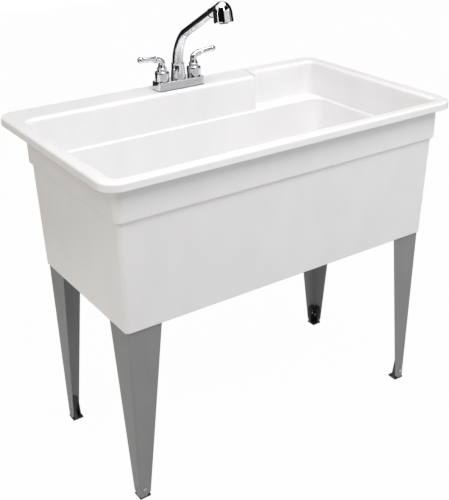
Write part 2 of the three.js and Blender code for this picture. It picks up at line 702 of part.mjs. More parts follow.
// The leg's angle section at height z, or the same section with a gap all round it.
function legSection(corner, z, width, gap = 0) {
  const { u, v } = legFold(corner, z);
  const reach = width + gap;
  const sheet = LEG_SHEET + gap;
  const arc = (radius) => Array.from({ length: LEG_BEND_STEPS + 1 }, (_, i) => {
    const angle = Math.PI / 2 * (1 - i / LEG_BEND_STEPS);
    return [radius * Math.cos(angle) - LEG_BEND, radius * Math.sin(angle) - LEG_BEND];
  });
  const outline = [
    [-reach, gap],
    ...arc(LEG_BEND + gap),
    [gap, -reach],
    [-sheet, -reach],
    ...arc(LEG_BEND - sheet).reverse(),
    [-reach, -sheet],
  ];
  return outline.map(([du, dv]) => [u + du, v + dv, z]);
}

// Width of the leg's flanges at height z, from the foot up to the skirt.
const legWidth = (z) => THREE.MathUtils.lerp(LEG_FOOT_WIDTH, LEG_TOP_WIDTH, Math.min(z / SKIRT_BOTTOM, 1));

const mirrored = (corner, geometry) => geometry.scale(corner.signX, corner.signY, 1);

const legScrewHeight = SKIRT_BOTTOM + LEG_SCREW_RISE;

function legSocket(corner) {
  const { u, v } = legFold(corner, SKIRT_BOTTOM);
  const arm = LEG_TOP_WIDTH + SOCKET_WALL;
  const depth = LEG_SHEET + SOCKET_WALL + TOUCH_GAP;
  const heights = [SKIRT_BOTTOM, UNDERSIDE + WALL / 2];
  const arms = join([
    box([u - depth, u + RIM_CORNER], [v - arm, v + RIM_CORNER], heights),
    box([u - arm, u + RIM_CORNER], [v - depth, v + RIM_CORNER], heights),
  ]);
  return mirrored(corner, arms);
}

// The socket's walls stop halfway through the skirt, so its outside stays smooth.
function socketBlocks() {
  const inside = loft([
    tubRing(grow(bodyFoot, -SKIRT_WALL / 2), SKIRT_BOTTOM),
    tubRing(grow(bodyWall(UNDERSIDE + WALL / 2), -SKIRT_WALL / 2), UNDERSIDE + WALL / 2),
  ]);
  return corners.map((corner) => overlap(inside, legSocket(corner)));
}

function legSlot(corner) {
  const slot = loft([
    legSection(corner, SKIRT_BOTTOM - OVERCUT, LEG_TOP_WIDTH, TOUCH_GAP),
    legSection(corner, LEG_TOP + 2 * TOUCH_GAP, LEG_TOP_WIDTH, TOUCH_GAP),
  ]);
  return mirrored(corner, slot);
}

// Where the leg's screw stands: its head lies on the socket's inner wall, its tip is in the outer wall.
function legScrewLine(corner) {
  const { u, v } = legFold(corner, legScrewHeight);
  const innerWall = legFold(corner, SKIRT_BOTTOM).v - LEG_SHEET - SOCKET_WALL - TOUCH_GAP;
  return { u: u - LEG_SCREW_INSET, head: innerWall - TOUCH_GAP, tip: v + LEG_SCREW_BITE };
}

function legScrewHole(corner, radius) {
  const { u, head, tip } = legScrewLine(corner);
  return mirrored(corner, barAlongY(radius, head - OVERCUT, tip + TOUCH_GAP, { x: u, z: legScrewHeight }));
}

function legScrew(corner) {
  const { u, head, tip } = legScrewLine(corner);
  const shank = barAlongY(LEG_SCREW_RADIUS, head - OVERLAP, tip, { x: u, z: legScrewHeight });
  const cap = barAlongY(LEG_SCREW_HEAD, head - LEG_SCREW_HEAD_HEIGHT, head, { x: u, z: legScrewHeight });
  return mirrored(corner, join([shank, cap]));
}

// The screw holes near the floor, one in each flange.
function footHole(corner, onSide, radius) {
  const { u, v } = legFold(corner, FOOT_SCREW_HEIGHT);
  return onSide
    ? barAlongX(radius, u - FOOT_PAD, u + FOOT_PAD, { y: v - FOOT_SCREW_INSET, z: FOOT_SCREW_HEIGHT })
    : barAlongY(radius, v - FOOT_PAD, v + FOOT_PAD, { x: u - FOOT_SCREW_INSET, z: FOOT_SCREW_HEIGHT });
}

function leg(corner) {
  const body = loft([
    legSection(corner, LEG_BOTTOM, legWidth(0) - LEG_CHAMFER),
    legSection(corner, LEG_BOTTOM + LEG_CHAMFER, legWidth(LEG_CHAMFER)),
    legSection(corner, SKIRT_BOTTOM, LEG_TOP_WIDTH),
    legSection(corner, LEG_TOP, LEG_TOP_WIDTH),
  ]);
  const hole = FOOT_SCREW_RADIUS + RUNNING_GAP;
  const drilled = cut(body, [footHole(corner, true, hole), footHole(corner, false, hole)]);
  return cut(mirrored(corner, drilled), [legScrewHole(corner, LEG_SCREW_RADIUS + RUNNING_GAP)]);
}

// ---- Levelling feet ----

const footWingFace = LEG_SHEET + TOUCH_GAP; // from the leg's outside to the wing's outside

// A wing with a round top and an upright slot, drawn in its own plane.
function wingGeometry() {
  const width = FOOT_PAD - FOOT_WING_CORNER - footWingFace;
  const half = width / 2;
  const outline = new THREE.Shape();
  outline.moveTo(-half, FOOT_PAD_THICKNESS / 2);
  outline.lineTo(half, FOOT_PAD_THICKNESS / 2);
  outline.absarc(0, FOOT_WING_HEIGHT - half, half, 0, Math.PI, false);
  outline.closePath();
  return new THREE.ExtrudeGeometry(outline, {
    depth: FOOT_WING_THICKNESS,
    bevelEnabled: false,
    curveSegments: SMALL_ROUND,
  }).rotateX(Math.PI / 2).translate(0, FOOT_WING_THICKNESS, 0);
}

// The slot in a wing, tall enough for the screw while the foot travels.
function wingSlot(x) {
  const radius = FOOT_SCREW_RADIUS + RUNNING_GAP;
  const reach = [-FOOT_PAD, FOOT_PAD];
  const low = FOOT_SCREW_HEIGHT;
  const high = FOOT_SCREW_HEIGHT + FOOT_TRAVEL;
  return join([
    box([x - radius, x + radius], reach, [low, high]),
    barAlongY(radius, ...reach, { x, z: low }),
    barAlongY(radius, ...reach, { x, z: high }),
  ]);
}

// The rib that stiffens the wing's free edge, with a flat top where it meets the wing.
function wingRib() {
  const outline = new THREE.Shape();
  const top = FOOT_WING_HEIGHT - FOOT_PAD / 2;
  outline.moveTo(0, FOOT_PAD_THICKNESS / 2);
  outline.lineTo(-FOOT_RIB_DEPTH, FOOT_PAD_THICKNESS / 2);
  outline.lineTo(-FOOT_RIB_DEPTH, FOOT_PAD_THICKNESS);
  outline.lineTo(-FOOT_WING_THICKNESS, top);
  outline.lineTo(0, top);
  outline.closePath();
  return new THREE.ExtrudeGeometry(outline, { depth: FOOT_WING_THICKNESS, bevelEnabled: false })
    .rotateX(Math.PI / 2).rotateZ(Math.PI / 2);
}

// One wing on the flange that faces +Y, at the leg's fold in the corner's own directions.
function footWing(slotPlace) {
  const middle = -(FOOT_PAD + FOOT_WING_CORNER + footWingFace) / 2;
  const face = -footWingFace - RUNNING_GAP;
  const wing = wingGeometry().translate(middle, face - FOOT_WING_THICKNESS, 0);
  const rib = wingRib().translate(-FOOT_PAD, face, 0);
  return cut(join([wing, rib]), [wingSlot(slotPlace)]);
}

const swapAxes = new THREE.Matrix4().set(0, 1, 0, 0, 1, 0, 0, 0, 0, 0, 1, 0, 0, 0, 0, 1);

function foot(corner) {
  const floorFold = legFold(corner, 0);
  const screwFold = legFold(corner, FOOT_SCREW_HEIGHT);
  const pad = box([-FOOT_PAD, 0], [-FOOT_PAD, 0], [0, FOOT_PAD_THICKNESS]);
  const wings = [
    footWing(screwFold.u - floorFold.u - FOOT_SCREW_INSET),
    footWing(screwFold.v - floorFold.v - FOOT_SCREW_INSET).applyMatrix4(swapAxes),
  ];
  return mirrored(corner, join([pad, ...wings]).translate(floorFold.u, floorFold.v, 0));
}

// Builds a fastener along Y, and turns it on to the side flange where the corner has it there.
function footFastener(corner, build) {
  const { u, v } = legFold(corner, FOOT_SCREW_HEIGHT);
  const floorFold = legFold(corner, 0);
  const inward = footWingFace + RUNNING_GAP + FOOT_WING_THICKNESS;
  if (corner.screwOnSide) {
    const faces = { outside: u, inside: floorFold.u - inward };
    return mirrored(corner, build(faces, v - FOOT_SCREW_INSET).applyMatrix4(swapAxes));
  }
  const faces = { outside: v, inside: floorFold.v - inward };
  return mirrored(corner, build(faces, u - FOOT_SCREW_INSET));
}

function footScrew(corner) {
  return footFastener(corner, ({ outside, inside }, x) => {
    const head = outside + 2 * TOUCH_GAP;
    const tip = inside - FOOT_NUT_THICKNESS - FOOT_SCREW_END;
    const place = { x, z: FOOT_SCREW_HEIGHT };
    return join([
      barAlongY(FOOT_SCREW_RADIUS, tip, head + OVERLAP, place),
      barAlongY(FOOT_SCREW_HEAD, head, head + FOOT_SCREW_HEAD_HEIGHT, place),
    ]);
  });
}

function footNut(corner) {
  return footFastener(corner, ({ inside }, x) => {
    const place = { x, z: FOOT_SCREW_HEIGHT };
    const near = inside - TOUCH_GAP;
    const far = near - FOOT_NUT_THICKNESS;
    const block = barAlongY(FOOT_NUT_RADIUS, far, near, { ...place, sides: HEXAGON });
    return cut(block, [barAlongY(FOOT_SCREW_RADIUS + TOUCH_GAP, far - OVERCUT, near + OVERCUT, place)]);
  });
}

// ---- Drain, with z measured from the top of the floor round the drain hole ----

const underFloor = -WALL;
const gasketTop = underFloor - TOUCH_GAP;
const drainNutTop = gasketTop - DRAIN_GASKET_THICKNESS - TOUCH_GAP;
const flangeTop = TOUCH_GAP + STRAINER_FLANGE_HEIGHT;
const strainerFoot = TOUCH_GAP - STRAINER_LENGTH;
const washerTop = strainerFoot - TOUCH_GAP;
const tailTop = washerTop - SLIP_WASHER_HEIGHT - TOUCH_GAP;
const tailFlangeFoot = tailTop - TAILPIECE_FLANGE_HEIGHT;

function strainer() {
  const shell = turned([
    [STRAINER_BORE, strainerFoot],
    [STRAINER_TUBE, strainerFoot],
    [STRAINER_TUBE, TOUCH_GAP],
    [STRAINER_FLANGE, TOUCH_GAP],
    [STRAINER_FLANGE, flangeTop - STRAINER_FLANGE_HEIGHT / 2],
    [STRAINER_FLANGE - STRAINER_FLANGE_HEIGHT, flangeTop],
    [STRAINER_BORE, flangeTop],
    [STRAINER_BORE, strainerFoot],
  ]);
  const reach = STRAINER_BORE + STRAINER_BAR / 2;
  const half = STRAINER_BAR / 2;
  const heights = [-STRAINER_BAR_DROP - STRAINER_BAR, -STRAINER_BAR_DROP];
  return join([
    shell,
    box([-reach, reach], [-half, half], heights),
    box([-half, half], [-reach, reach], heights),
  ]);
}

function tailpiece() {
  const inside = TAILPIECE_RADIUS - TAILPIECE_WALL;
  const flange = STRAINER_TUBE - TOUCH_GAP;
  const foot = tailTop - TAILPIECE_LENGTH;
  return turned([
    [inside, foot],
    [TAILPIECE_RADIUS, foot],
    [TAILPIECE_RADIUS, tailFlangeFoot],
    [flange, tailFlangeFoot],
    [flange, tailTop],
    [inside, tailTop],
    [inside, foot],
  ]);
}

function slipNut() {
  const grip = STRAINER_TUBE + RUNNING_GAP;
  const throat = TAILPIECE_RADIUS + RUNNING_GAP;
  const ledge = tailFlangeFoot - TOUCH_GAP;
  const foot = ledge - SLIP_NUT_LIP;
  const top = strainerFoot + SLIP_NUT_GRIP;
  return turned([
    [throat, foot],
    [SLIP_NUT_RADIUS, foot],
    [SLIP_NUT_RADIUS, top],
    [grip, top],
    [grip, ledge],
    [throat, ledge],
    [throat, foot],
  ]);
}

function stopper() {
  const seat = flangeTop + TOUCH_GAP;
  const plug = STRAINER_BORE - 2 * RUNNING_GAP;
  return turned([
    [0, -STOPPER_PLUG_DEPTH],
    [plug - STOPPER_PLUG_TAPER, -STOPPER_PLUG_DEPTH],
    [plug, seat],
    [STOPPER_RIM, seat],
    [STOPPER_RIM, seat + STOPPER_RIM_HEIGHT / 2],
    [STOPPER_RIM - STOPPER_RIM_HEIGHT / 2, seat + STOPPER_RIM_HEIGHT],
    [STOPPER_KNOB, seat + STOPPER_RIM_HEIGHT + STOPPER_DOME],
    [0, seat + STOPPER_RIM_HEIGHT + STOPPER_DOME],
  ]);
}

function stopperKnob() {
  const foot = flangeTop + STOPPER_RIM_HEIGHT + STOPPER_DOME + 2 * TOUCH_GAP;
  const top = foot + STOPPER_KNOB_HEIGHT;
  return turned([
    [0, foot],
    [STOPPER_KNOB_END, foot],
    [STOPPER_KNOB_WAIST, foot + STOPPER_KNOB_WAIST_RISE],
    [STOPPER_KNOB, foot + STOPPER_KNOB_RING_RISE],
    [STOPPER_KNOB_END, top],
    [0, top],
  ], SMALL_ROUND);
}

// ---- Faucet base, with z measured from the deck's top and x from the middle of the base ----

const gasketFoot = TOUCH_GAP;
const coverFoot = gasketFoot + BASE_GASKET + TOUCH_GAP;
const coverTop = coverFoot + BASE_HEIGHT;
const coverCeiling = coverTop - BASE_WALL;
const bridgeFoot = coverFoot + BASE_WALL;
const bridgeTop = bridgeFoot + BRIDGE_HEIGHT;
const bossTop = coverTop + VALVE_BOSS_RISE;
const cartridgeFoot = coverTop - CARTRIDGE_SEAT;
const cartridgeTop = coverTop + CARTRIDGE_RISE;
const bonnetFoot = coverTop + TOUCH_GAP;
const bonnetTop = bonnetFoot + BONNET_HEIGHT;
const leverFoot = bonnetTop + RUNNING_GAP;
const towerTop = coverCeiling - TOUCH_GAP;
const sealFoot = towerTop + TOUCH_GAP;
const spoutFoot = sealFoot + SPOUT_SEAL_THICKNESS + TOUCH_GAP;
const passageHeight = bridgeFoot + PASSAGE_RISE;
const postRadius = NECK_RADIUS - SPOUT_WALL - RUNNING_GAP;

function faucetGasket() {
  const sheet = roundedBlock([
    [BASE_LENGTH - BASE_WALL, BASE_DEPTH - BASE_WALL, BASE_CORNER, gasketFoot],
    [BASE_LENGTH - BASE_WALL, BASE_DEPTH - BASE_WALL, BASE_CORNER, gasketFoot + BASE_GASKET],
  ]);
  const heights = [gasketFoot - OVERCUT, gasketFoot + BASE_GASKET + OVERCUT];
  const shank = SHANK_RADIUS + RUNNING_GAP;
  return cut(sheet, [
    bar(shank, ...heights, { x: -valveX }),
    bar(shank, ...heights, { x: valveX }),
    bar(DECK_CENTRE_HOLE, ...heights),
  ]);
}

function faucetCover() {
  const level = (inset, z) => [BASE_LENGTH - 2 * inset, BASE_DEPTH - 2 * inset, BASE_CORNER - inset, z];
  const outside = roundedBlock([
    level(0, coverFoot),
    ...quarterRound(EDGE_STEPS).map(([across, along]) =>
      level(BASE_DRAFT + BASE_ROUNDING * across, coverTop - BASE_ROUNDING * (1 - along))),
  ]);
  const hollow = roundedBlock([
    level(BASE_WALL, coverFoot - OVERCUT),
    level(BASE_WALL + BASE_DRAFT, coverCeiling),
  ]);
  const heights = [coverCeiling - OVERCUT, coverTop + OVERCUT];
  const bossHole = VALVE_BOSS + RUNNING_GAP;
  return cut(outside, [
    hollow,
    bar(bossHole, ...heights, { x: -valveX }),
    bar(bossHole, ...heights, { x: valveX }),
    bar(NECK_RADIUS + RUNNING_GAP, ...heights),
  ]);
}

// The valve body: a bridge with two shanks for the supplies, an outlet and a guide for the spray hose.
function valveBody() {
  const half = valveX + BRIDGE_MARGIN;
  const sides = [-valveX, valveX];
  const solids = [
    box([-half, half], [-BRIDGE_DEPTH / 2, BRIDGE_DEPTH / 2], [bridgeFoot, bridgeTop]),
    bar(TOWER_RADIUS, bridgeFoot, towerTop),
    bar(postRadius, bridgeFoot, towerTop + POST_HEIGHT),
    bar(OUTLET_RADIUS, -OUTLET_LENGTH, bridgeFoot + OVERLAP, { y: -PASSAGE_OFFSET, sides: SMALL_ROUND }),
    ...sides.map((x) => bar(VALVE_BOSS, bridgeFoot, bossTop, { x })),
    ...sides.map((x) => bar(SHANK_RADIUS, -SHANK_LENGTH, bridgeFoot + OVERLAP, { x })),
  ];
  const seat = CARTRIDGE_RADIUS + TOUCH_GAP;
  const outlet = [-OUTLET_LENGTH - OVERCUT, passageHeight];
  const bores = [
    bar(HOSE_GUIDE, bridgeFoot - OVERCUT, towerTop + POST_HEIGHT + OVERCUT, { sides: SMALL_ROUND }),
    bar(PASSAGE_RADIUS, ...outlet, { y: -PASSAGE_OFFSET, sides: SMALL_ROUND }),
    barAlongX(PASSAGE_RADIUS, -valveX, valveX, { y: -PASSAGE_OFFSET, z: passageHeight }),
    ...sides.map((x) => barAlongY(PASSAGE_RADIUS, -PASSAGE_OFFSET, 0, { x, z: passageHeight })),
    ...sides.map((x) => bar(SHANK_BORE, -SHANK_LENGTH - OVERCUT, cartridgeFoot, { x })),
    ...sides.map((x) => bar(seat, cartridgeFoot - TOUCH_GAP, bossTop + OVERCUT, { x })),
  ];
  return cut(join(solids), bores);
}

function cartridge() {
  const hollow = STEM_RADIUS + RUNNING_GAP;
  const shoulder = bossTop + CARTRIDGE_SHOULDER;
  return turned([
    [0, cartridgeFoot],
    [CARTRIDGE_RADIUS, cartridgeFoot],
    [CARTRIDGE_RADIUS, shoulder],
    [CARTRIDGE_NECK, shoulder],
    [CARTRIDGE_NECK, cartridgeTop],
    [hollow, cartridgeTop],
    [hollow, cartridgeTop - STEM_DEPTH],
    [0, cartridgeTop - STEM_DEPTH],
  ]);
}

const stemFoot = cartridgeTop - STEM_DEPTH + TOUCH_GAP;
const stemTop = leverFoot + STEM_RISE;

const stem = () => bar(STEM_RADIUS, stemFoot, stemTop, { sides: SMALL_ROUND });

// The bell's rounded shoulder from its side to its neck, moved inwards by an inset.
function bonnetShoulder(inset) {
  const side = BONNET_RADIUS - inset;
  const neck = BONNET_NECK - inset;
  const curve = new THREE.QuadraticBezierCurve(
    new THREE.Vector2(side, bonnetFoot + BONNET_SHOULDER),
    new THREE.Vector2(side, bonnetFoot + BONNET_NECK_FOOT - inset),
    new THREE.Vector2(neck, bonnetFoot + BONNET_NECK_FOOT - inset),
  );
  return curve.getPoints(BONNET_STEPS).map((point) => point.toArray());
}

function bonnet() {
  const throat = STEM_RADIUS + 2 * RUNNING_GAP;
  const inside = [BONNET_FOOT - BONNET_WALL, bonnetFoot];
  return turned([
    inside,
    [BONNET_FOOT, bonnetFoot],
    ...bonnetShoulder(0),
    [BONNET_NECK, bonnetTop],
    [throat, bonnetTop],
    [throat, bonnetFoot + BONNET_NECK_FOOT - BONNET_WALL],
    ...bonnetShoulder(BONNET_WALL).reverse(),
    inside,
  ]);
}

// A round arm whose thickness changes along a curve in the XZ plane, as rings across the curve.
function sweptRings(curve, steps, radiusAt, acrossAxis, sides) {
  const across = acrossAxis.clone();
  return Array.from({ length: steps + 1 }, (_, i) => {
    const share = i / steps;
    const centre = curve.getPoint(share);
    const upward = curve.getTangent(share).cross(across).normalize();
    const radius = radiusAt(share);
    return Array.from({ length: sides }, (_unused, j) => {
      const angle = j / sides * 2 * Math.PI;
      return centre.clone()
        .addScaledVector(across, radius * Math.cos(angle))
        .addScaledVector(upward, radius * Math.sin(angle))
        .toArray();
    });
  });
}

// The lever points along +X, and its set screw is on the side given by its sign.
function lever(screwSign) {
  const bendFoot = leverFoot + LEVER_HUB_HEIGHT;
  const tip = new THREE.Vector3(LEVER_REACH, 0, leverFoot + LEVER_RISE);
  const curve = new THREE.CubicBezierCurve3(
    new THREE.Vector3(0, 0, bendFoot - OVERLAP),
    new THREE.Vector3(0, 0, bendFoot + LEVER_HUB_HANDLE),
    new THREE.Vector3(LEVER_ELBOW_REACH, 0, tip.z - LEVER_ELBOW_DROP),
    tip,
  );
  const radiusAt = (share) => (share < LEVER_BEND_SHARE
    ? THREE.MathUtils.mapLinear(share, 0, LEVER_BEND_SHARE, LEVER_HUB, LEVER_ARM)
    : THREE.MathUtils.mapLinear(share, LEVER_BEND_SHARE, 1, LEVER_ARM, LEVER_ARM_TIP));
  const arm = loft(sweptRings(curve, LEVER_STEPS, radiusAt, new THREE.Vector3(0, 1, 0), SMALL_ROUND));
  const flare = new THREE.QuadraticBezierCurve(
    new THREE.Vector2(LEVER_SKIRT, leverFoot + LEVER_SKIRT_EDGE),
    new THREE.Vector2(LEVER_HUB, leverFoot + LEVER_SKIRT_EDGE),
    new THREE.Vector2(LEVER_HUB, bendFoot),
  );
  const hub = turned([
    [0, leverFoot],
    [LEVER_SKIRT, leverFoot],
    ...flare.getPoints(LEVER_FLARE_STEPS).map((point) => point.toArray()),
    [0, bendFoot],
  ]);
  const { x, z } = curve.getPoint(LEVER_BEAD_SHARE);
  const bead = barAlongX(LEVER_BEAD, x - LEVER_BEAD_WIDTH / 2, x + LEVER_BEAD_WIDTH / 2, { z });
  const ball = new THREE.SphereGeometry(LEVER_BALL, SMALL_ROUND, LEVER_BALL_ROWS).translate(...tip);
  const screwHeight = leverFoot + LEVER_SCREW_RISE;
  const bores = [
    bar(STEM_RADIUS + TOUCH_GAP, leverFoot - OVERCUT, stemTop + TOUCH_GAP, { sides: SMALL_ROUND }),
    barAlongY(LEVER_SCREW_RADIUS + TOUCH_GAP, 0, screwSign * LEVER_SKIRT, { z: screwHeight }),
  ];
  return cut(join([hub, arm, bead, ball]), bores);
}

function leverScrew(sign) {
  const tip = STEM_RADIUS + TOUCH_GAP;
  const end = tip + LEVER_SCREW_LENGTH;
  return barAlongY(LEVER_SCREW_RADIUS, sign * tip, sign * end, { z: leverFoot + LEVER_SCREW_RISE });
}

const padFoot = -WALL - DECK_PAD_THICKNESS;
const mountingNutTop = padFoot - TOUCH_GAP - MOUNTING_WASHER_THICKNESS - TOUCH_GAP;

function mountingWasher() {
  const top = padFoot - TOUCH_GAP;
  return tube(MOUNTING_WASHER, SHANK_RADIUS + RUNNING_GAP, top - MOUNTING_WASHER_THICKNESS, top);
}

function mountingNut() {
  const foot = mountingNutTop - MOUNTING_NUT_HEIGHT;
  const half = MOUNTING_WING_THICKNESS / 2;
  const wingTop = mountingNutTop - MOUNTING_WING_DROP;
  const wings = box([-MOUNTING_WING, MOUNTING_WING], [-half, half], [foot, wingTop]);
  const barrel = bar(MOUNTING_NUT, foot, mountingNutTop);
  const bore = bar(SHANK_RADIUS + RUNNING_GAP, foot - OVERCUT, mountingNutTop + OVERCUT);
  return cut(join([barrel, wings]), [bore]);
}

// ---- Spout ----

const neckTop = coverTop + NECK_STRAIGHT;
const bendEnd = new THREE.Vector3(0, -BEND_REACH, coverTop + NECK_STRAIGHT + BEND_RISE);
const armDirection = new THREE.Vector3(0, -Math.cos(ARM_SLOPE), Math.sin(ARM_SLOPE));
const armEnd = bendEnd.clone().addScaledVector(armDirection, ARM_LENGTH);
const acrossSpout = new THREE.Vector3(1, 0, 0);

const bendCurve = new THREE.CubicBezierCurve3(
  new THREE.Vector3(0, 0, neckTop),
  new THREE.Vector3(0, 0, neckTop + BEND_NECK_HANDLE),
  bendEnd.clone().addScaledVector(armDirection, -BEND_ARM_HANDLE),
  bendEnd,
);

function spoutCollar() {
  const bore = NECK_RADIUS + RUNNING_GAP;
  const foot = coverTop + TOUCH_GAP;
  const top = foot + COLLAR_HEIGHT;
  const ringFoot = top - COLLAR_RING_HEIGHT;
  return turned([
    [bore, foot],
    [COLLAR_RADIUS, foot],
    [COLLAR_RADIUS, foot + COLLAR_RING_HEIGHT / 2],
    [COLLAR_TOP, ringFoot],
    [COLLAR_RING, ringFoot + COLLAR_RING_EDGE],
    [COLLAR_RING, top - COLLAR_RING_EDGE],
    [COLLAR_TOP, top],
    [bore, top],
    [bore, foot],
  ]);
}

const spoutSeal = () => tube(
  TOWER_RADIUS,
  postRadius + TOUCH_GAP,
  sealFoot,
  sealFoot + SPOUT_SEAL_THICKNESS,
);

// The spout's outside or bore: a straight neck, the bend and the straight arm that tapers a little.
function spoutBody(inset, endOvercut) {
  const neck = NECK_RADIUS - inset;
  const arm = ARM_RADIUS - inset;
  const neckLine = new THREE.LineCurve3(
    new THREE.Vector3(0, 0, spoutFoot - endOvercut),
    new THREE.Vector3(0, 0, neckTop),
  );
  const armLine = new THREE.LineCurve3(bendEnd, armEnd.clone().addScaledVector(armDirection, endOvercut));
  const bendRadius = (share) => THREE.MathUtils.lerp(neck, arm, share);
  return loft([
    ...sweptRings(neckLine, 1, () => neck, acrossSpout, ROUND),
    ...sweptRings(bendCurve, BEND_STEPS, bendRadius, acrossSpout, ROUND).slice(1, -1),
    ...sweptRings(armLine, 1, () => arm, acrossSpout, ROUND),
  ]);
}

const spout = () => cut(spoutBody(0, 0), [spoutBody(SPOUT_WALL, OVERCUT)]);

// ---- Spray head, with z along the arm from its end ----

const armBore = ARM_RADIUS - SPOUT_WALL;
const sprayRingFoot = TOUCH_GAP;
const sprayNeckFoot = sprayRingFoot + SPRAY_RING_THICKNESS + TOUCH_GAP;

function dockBush() {
  const outside = (armBore - TOUCH_GAP) * Math.cos(Math.PI / SMALL_ROUND);
  return tube(outside, outside - BUSH_WALL, -BUSH_LENGTH, -TOUCH_GAP, SMALL_ROUND);
}

// Turns a piece from the head's own upright axis to where the head stands on the arm.
function onHead(geometry) {
  const turn = -(Math.PI / 2 - ARM_SLOPE + HEAD_TILT);
  return geometry.translate(0, 0, -HEAD_DROP).rotateX(turn).translate(0, 0, HEAD_DISTANCE);
}

function sprayShell() {
  const dome = new THREE.EllipseCurve(
    0,
    HEAD_DOME_FOOT,
    HEAD_DOME_RADIUS,
    HEAD_HEIGHT - HEAD_DOME_FOOT,
    0,
    Math.PI / 2,
  );
  const bell = onHead(turned([
    [0, 0],
    [HEAD_EDGE_RADIUS, 0],
    [HEAD_RADIUS, HEAD_EDGE_HEIGHT],
    ...dome.getPoints(HEAD_DOME_STEPS).map((point) => point.toArray()),
  ]));
  const neck = turned([
    [0, sprayNeckFoot],
    [SPRAY_NECK, sprayNeckFoot],
    [SPRAY_NECK, HEAD_DISTANCE - HEAD_RADIUS / 2],
    [0, HEAD_DISTANCE],
  ]);
  const spigot = bar(SPIGOT_RADIUS, -SPIGOT_LENGTH, sprayNeckFoot + OVERLAP, { sides: SMALL_ROUND });
  const inside = HEAD_EDGE_RADIUS - HEAD_WALL;
  const cavity = onHead(turned([
    [0, -OVERCUT],
    [inside, -OVERCUT],
    [inside, HEAD_CAVITY_SIDE],
    [WATERWAY, HEAD_CAVITY],
    [WATERWAY, HEAD_DROP],
    [0, HEAD_DROP],
  ]));
  const waterway = bar(WATERWAY, -SPIGOT_LENGTH - OVERCUT, HEAD_DISTANCE, { sides: SMALL_ROUND });
  return cut(join([bell, neck, spigot]), [cavity, waterway]);
}

const sprayRing = () => tube(
  SPRAY_RING,
  SPIGOT_RADIUS + TOUCH_GAP,
  sprayRingFoot,
  sprayRingFoot + SPRAY_RING_THICKNESS,
);

function sprayFace() {
  const radius = HEAD_EDGE_RADIUS - HEAD_WALL - TOUCH_GAP;
  const heights = [FACE_RECESS - OVERCUT, FACE_RECESS + FACE_THICKNESS + OVERCUT];
  const disc = bar(radius * Math.cos(Math.PI / ROUND), FACE_RECESS, FACE_RECESS + FACE_THICKNESS);
  const jets = Array.from({ length: JET_COUNT }, (_, i) => {
    const angle = i / JET_COUNT * 2 * Math.PI;
    const place = { x: JET_CIRCLE * Math.cos(angle), y: JET_CIRCLE * Math.sin(angle) };
    return bar(JET_RADIUS, ...heights, { ...place, sides: HEXAGON });
  });
  return onHead(cut(disc, [bar(AERATOR_RADIUS + TOUCH_GAP, ...heights), ...jets]));
}

const aerator = () => onHead(tube(
  AERATOR_RADIUS * Math.cos(Math.PI / ROUND),
  AERATOR_BORE,
  -AERATOR_PROUD,
  AERATOR_LENGTH - AERATOR_PROUD,
));

function hoseTail() {
  const top = -SPIGOT_LENGTH - TOUCH_GAP;
  return tube(HOSE_RADIUS, HOSE_BORE, top - HOSE_LENGTH, top, SMALL_ROUND);
}

// ---- The scene ----

const sink = new THREE.Group();

const tubGeometry = cut(
  join([shellGeometry(), recessBox(), ...deckStiffening(), ...socketBlocks()]),
  [
    recessPocket(),
    deckEndTool(),
    ...deckHoles(),
    ...corners.map(legSlot),
    ...corners.map((corner) => legScrewHole(corner, LEG_SCREW_RADIUS + TOUCH_GAP)),
  ],
);
sink.add(meshOf('tub', tubGeometry, whitePlastic()));

corners.forEach((corner) => {
  sink.add(meshOf(`leg_${corner.name}`, leg(corner), greySteel()));
  sink.add(meshOf(`leg_screw_${corner.name}`, legScrew(corner), zincSteel()));
  sink.add(meshOf(`foot_${corner.name}`, foot(corner), blackPlastic()));
  sink.add(meshOf(`foot_screw_${corner.name}`, footScrew(corner), zincSteel()));
  sink.add(meshOf(`foot_nut_${corner.name}`, footNut(corner), zincSteel()));
});

const drain = new THREE.Group();
drain.position.set(0, drainY, FLOOR);
drain.add(
  meshOf('drain_strainer', strainer(), stainless()),
  meshOf(
    'drain_gasket',
    tube(DRAIN_GASKET_RADIUS, STRAINER_TUBE + RUNNING_GAP, gasketTop - DRAIN_GASKET_THICKNESS, gasketTop),
    rubber(),
  ),
  meshOf(
    'drain_nut',
    hexNut(DRAIN_NUT_RADIUS, STRAINER_TUBE + RUNNING_GAP, drainNutTop - DRAIN_NUT_HEIGHT, drainNutTop),
    greyPlastic(),
  ),
  meshOf(
    'slip_washer',
    tube(
      STRAINER_TUBE - TOUCH_GAP,
      TAILPIECE_RADIUS - TAILPIECE_WALL,
      washerTop - SLIP_WASHER_HEIGHT,
      washerTop,
    ),
    rubber(),
  ),
  meshOf('tailpiece', tailpiece(), chrome()),
  meshOf('slip_nut', slipNut(), greyPlastic()),
  meshOf('stopper', stopper(), rubber()),
  meshOf('stopper_knob', stopperKnob(), chrome()),
);
sink.add(drain);

const faucet = new THREE.Group();
faucet.position.set(FAUCET_X, faucetY, RIM_HEIGHT);
faucet.add(
  meshOf('faucet_gasket', faucetGasket(), rubber()),
  meshOf('faucet_cover', faucetCover(), chrome()),
  meshOf('valve_body', valveBody(), brass()),
  meshOf('spout_collar', spoutCollar(), chrome()),
  meshOf('spout_seal', spoutSeal(), rubber()),
  meshOf('spout', spout(), chrome()),
);
sink.add(faucet);

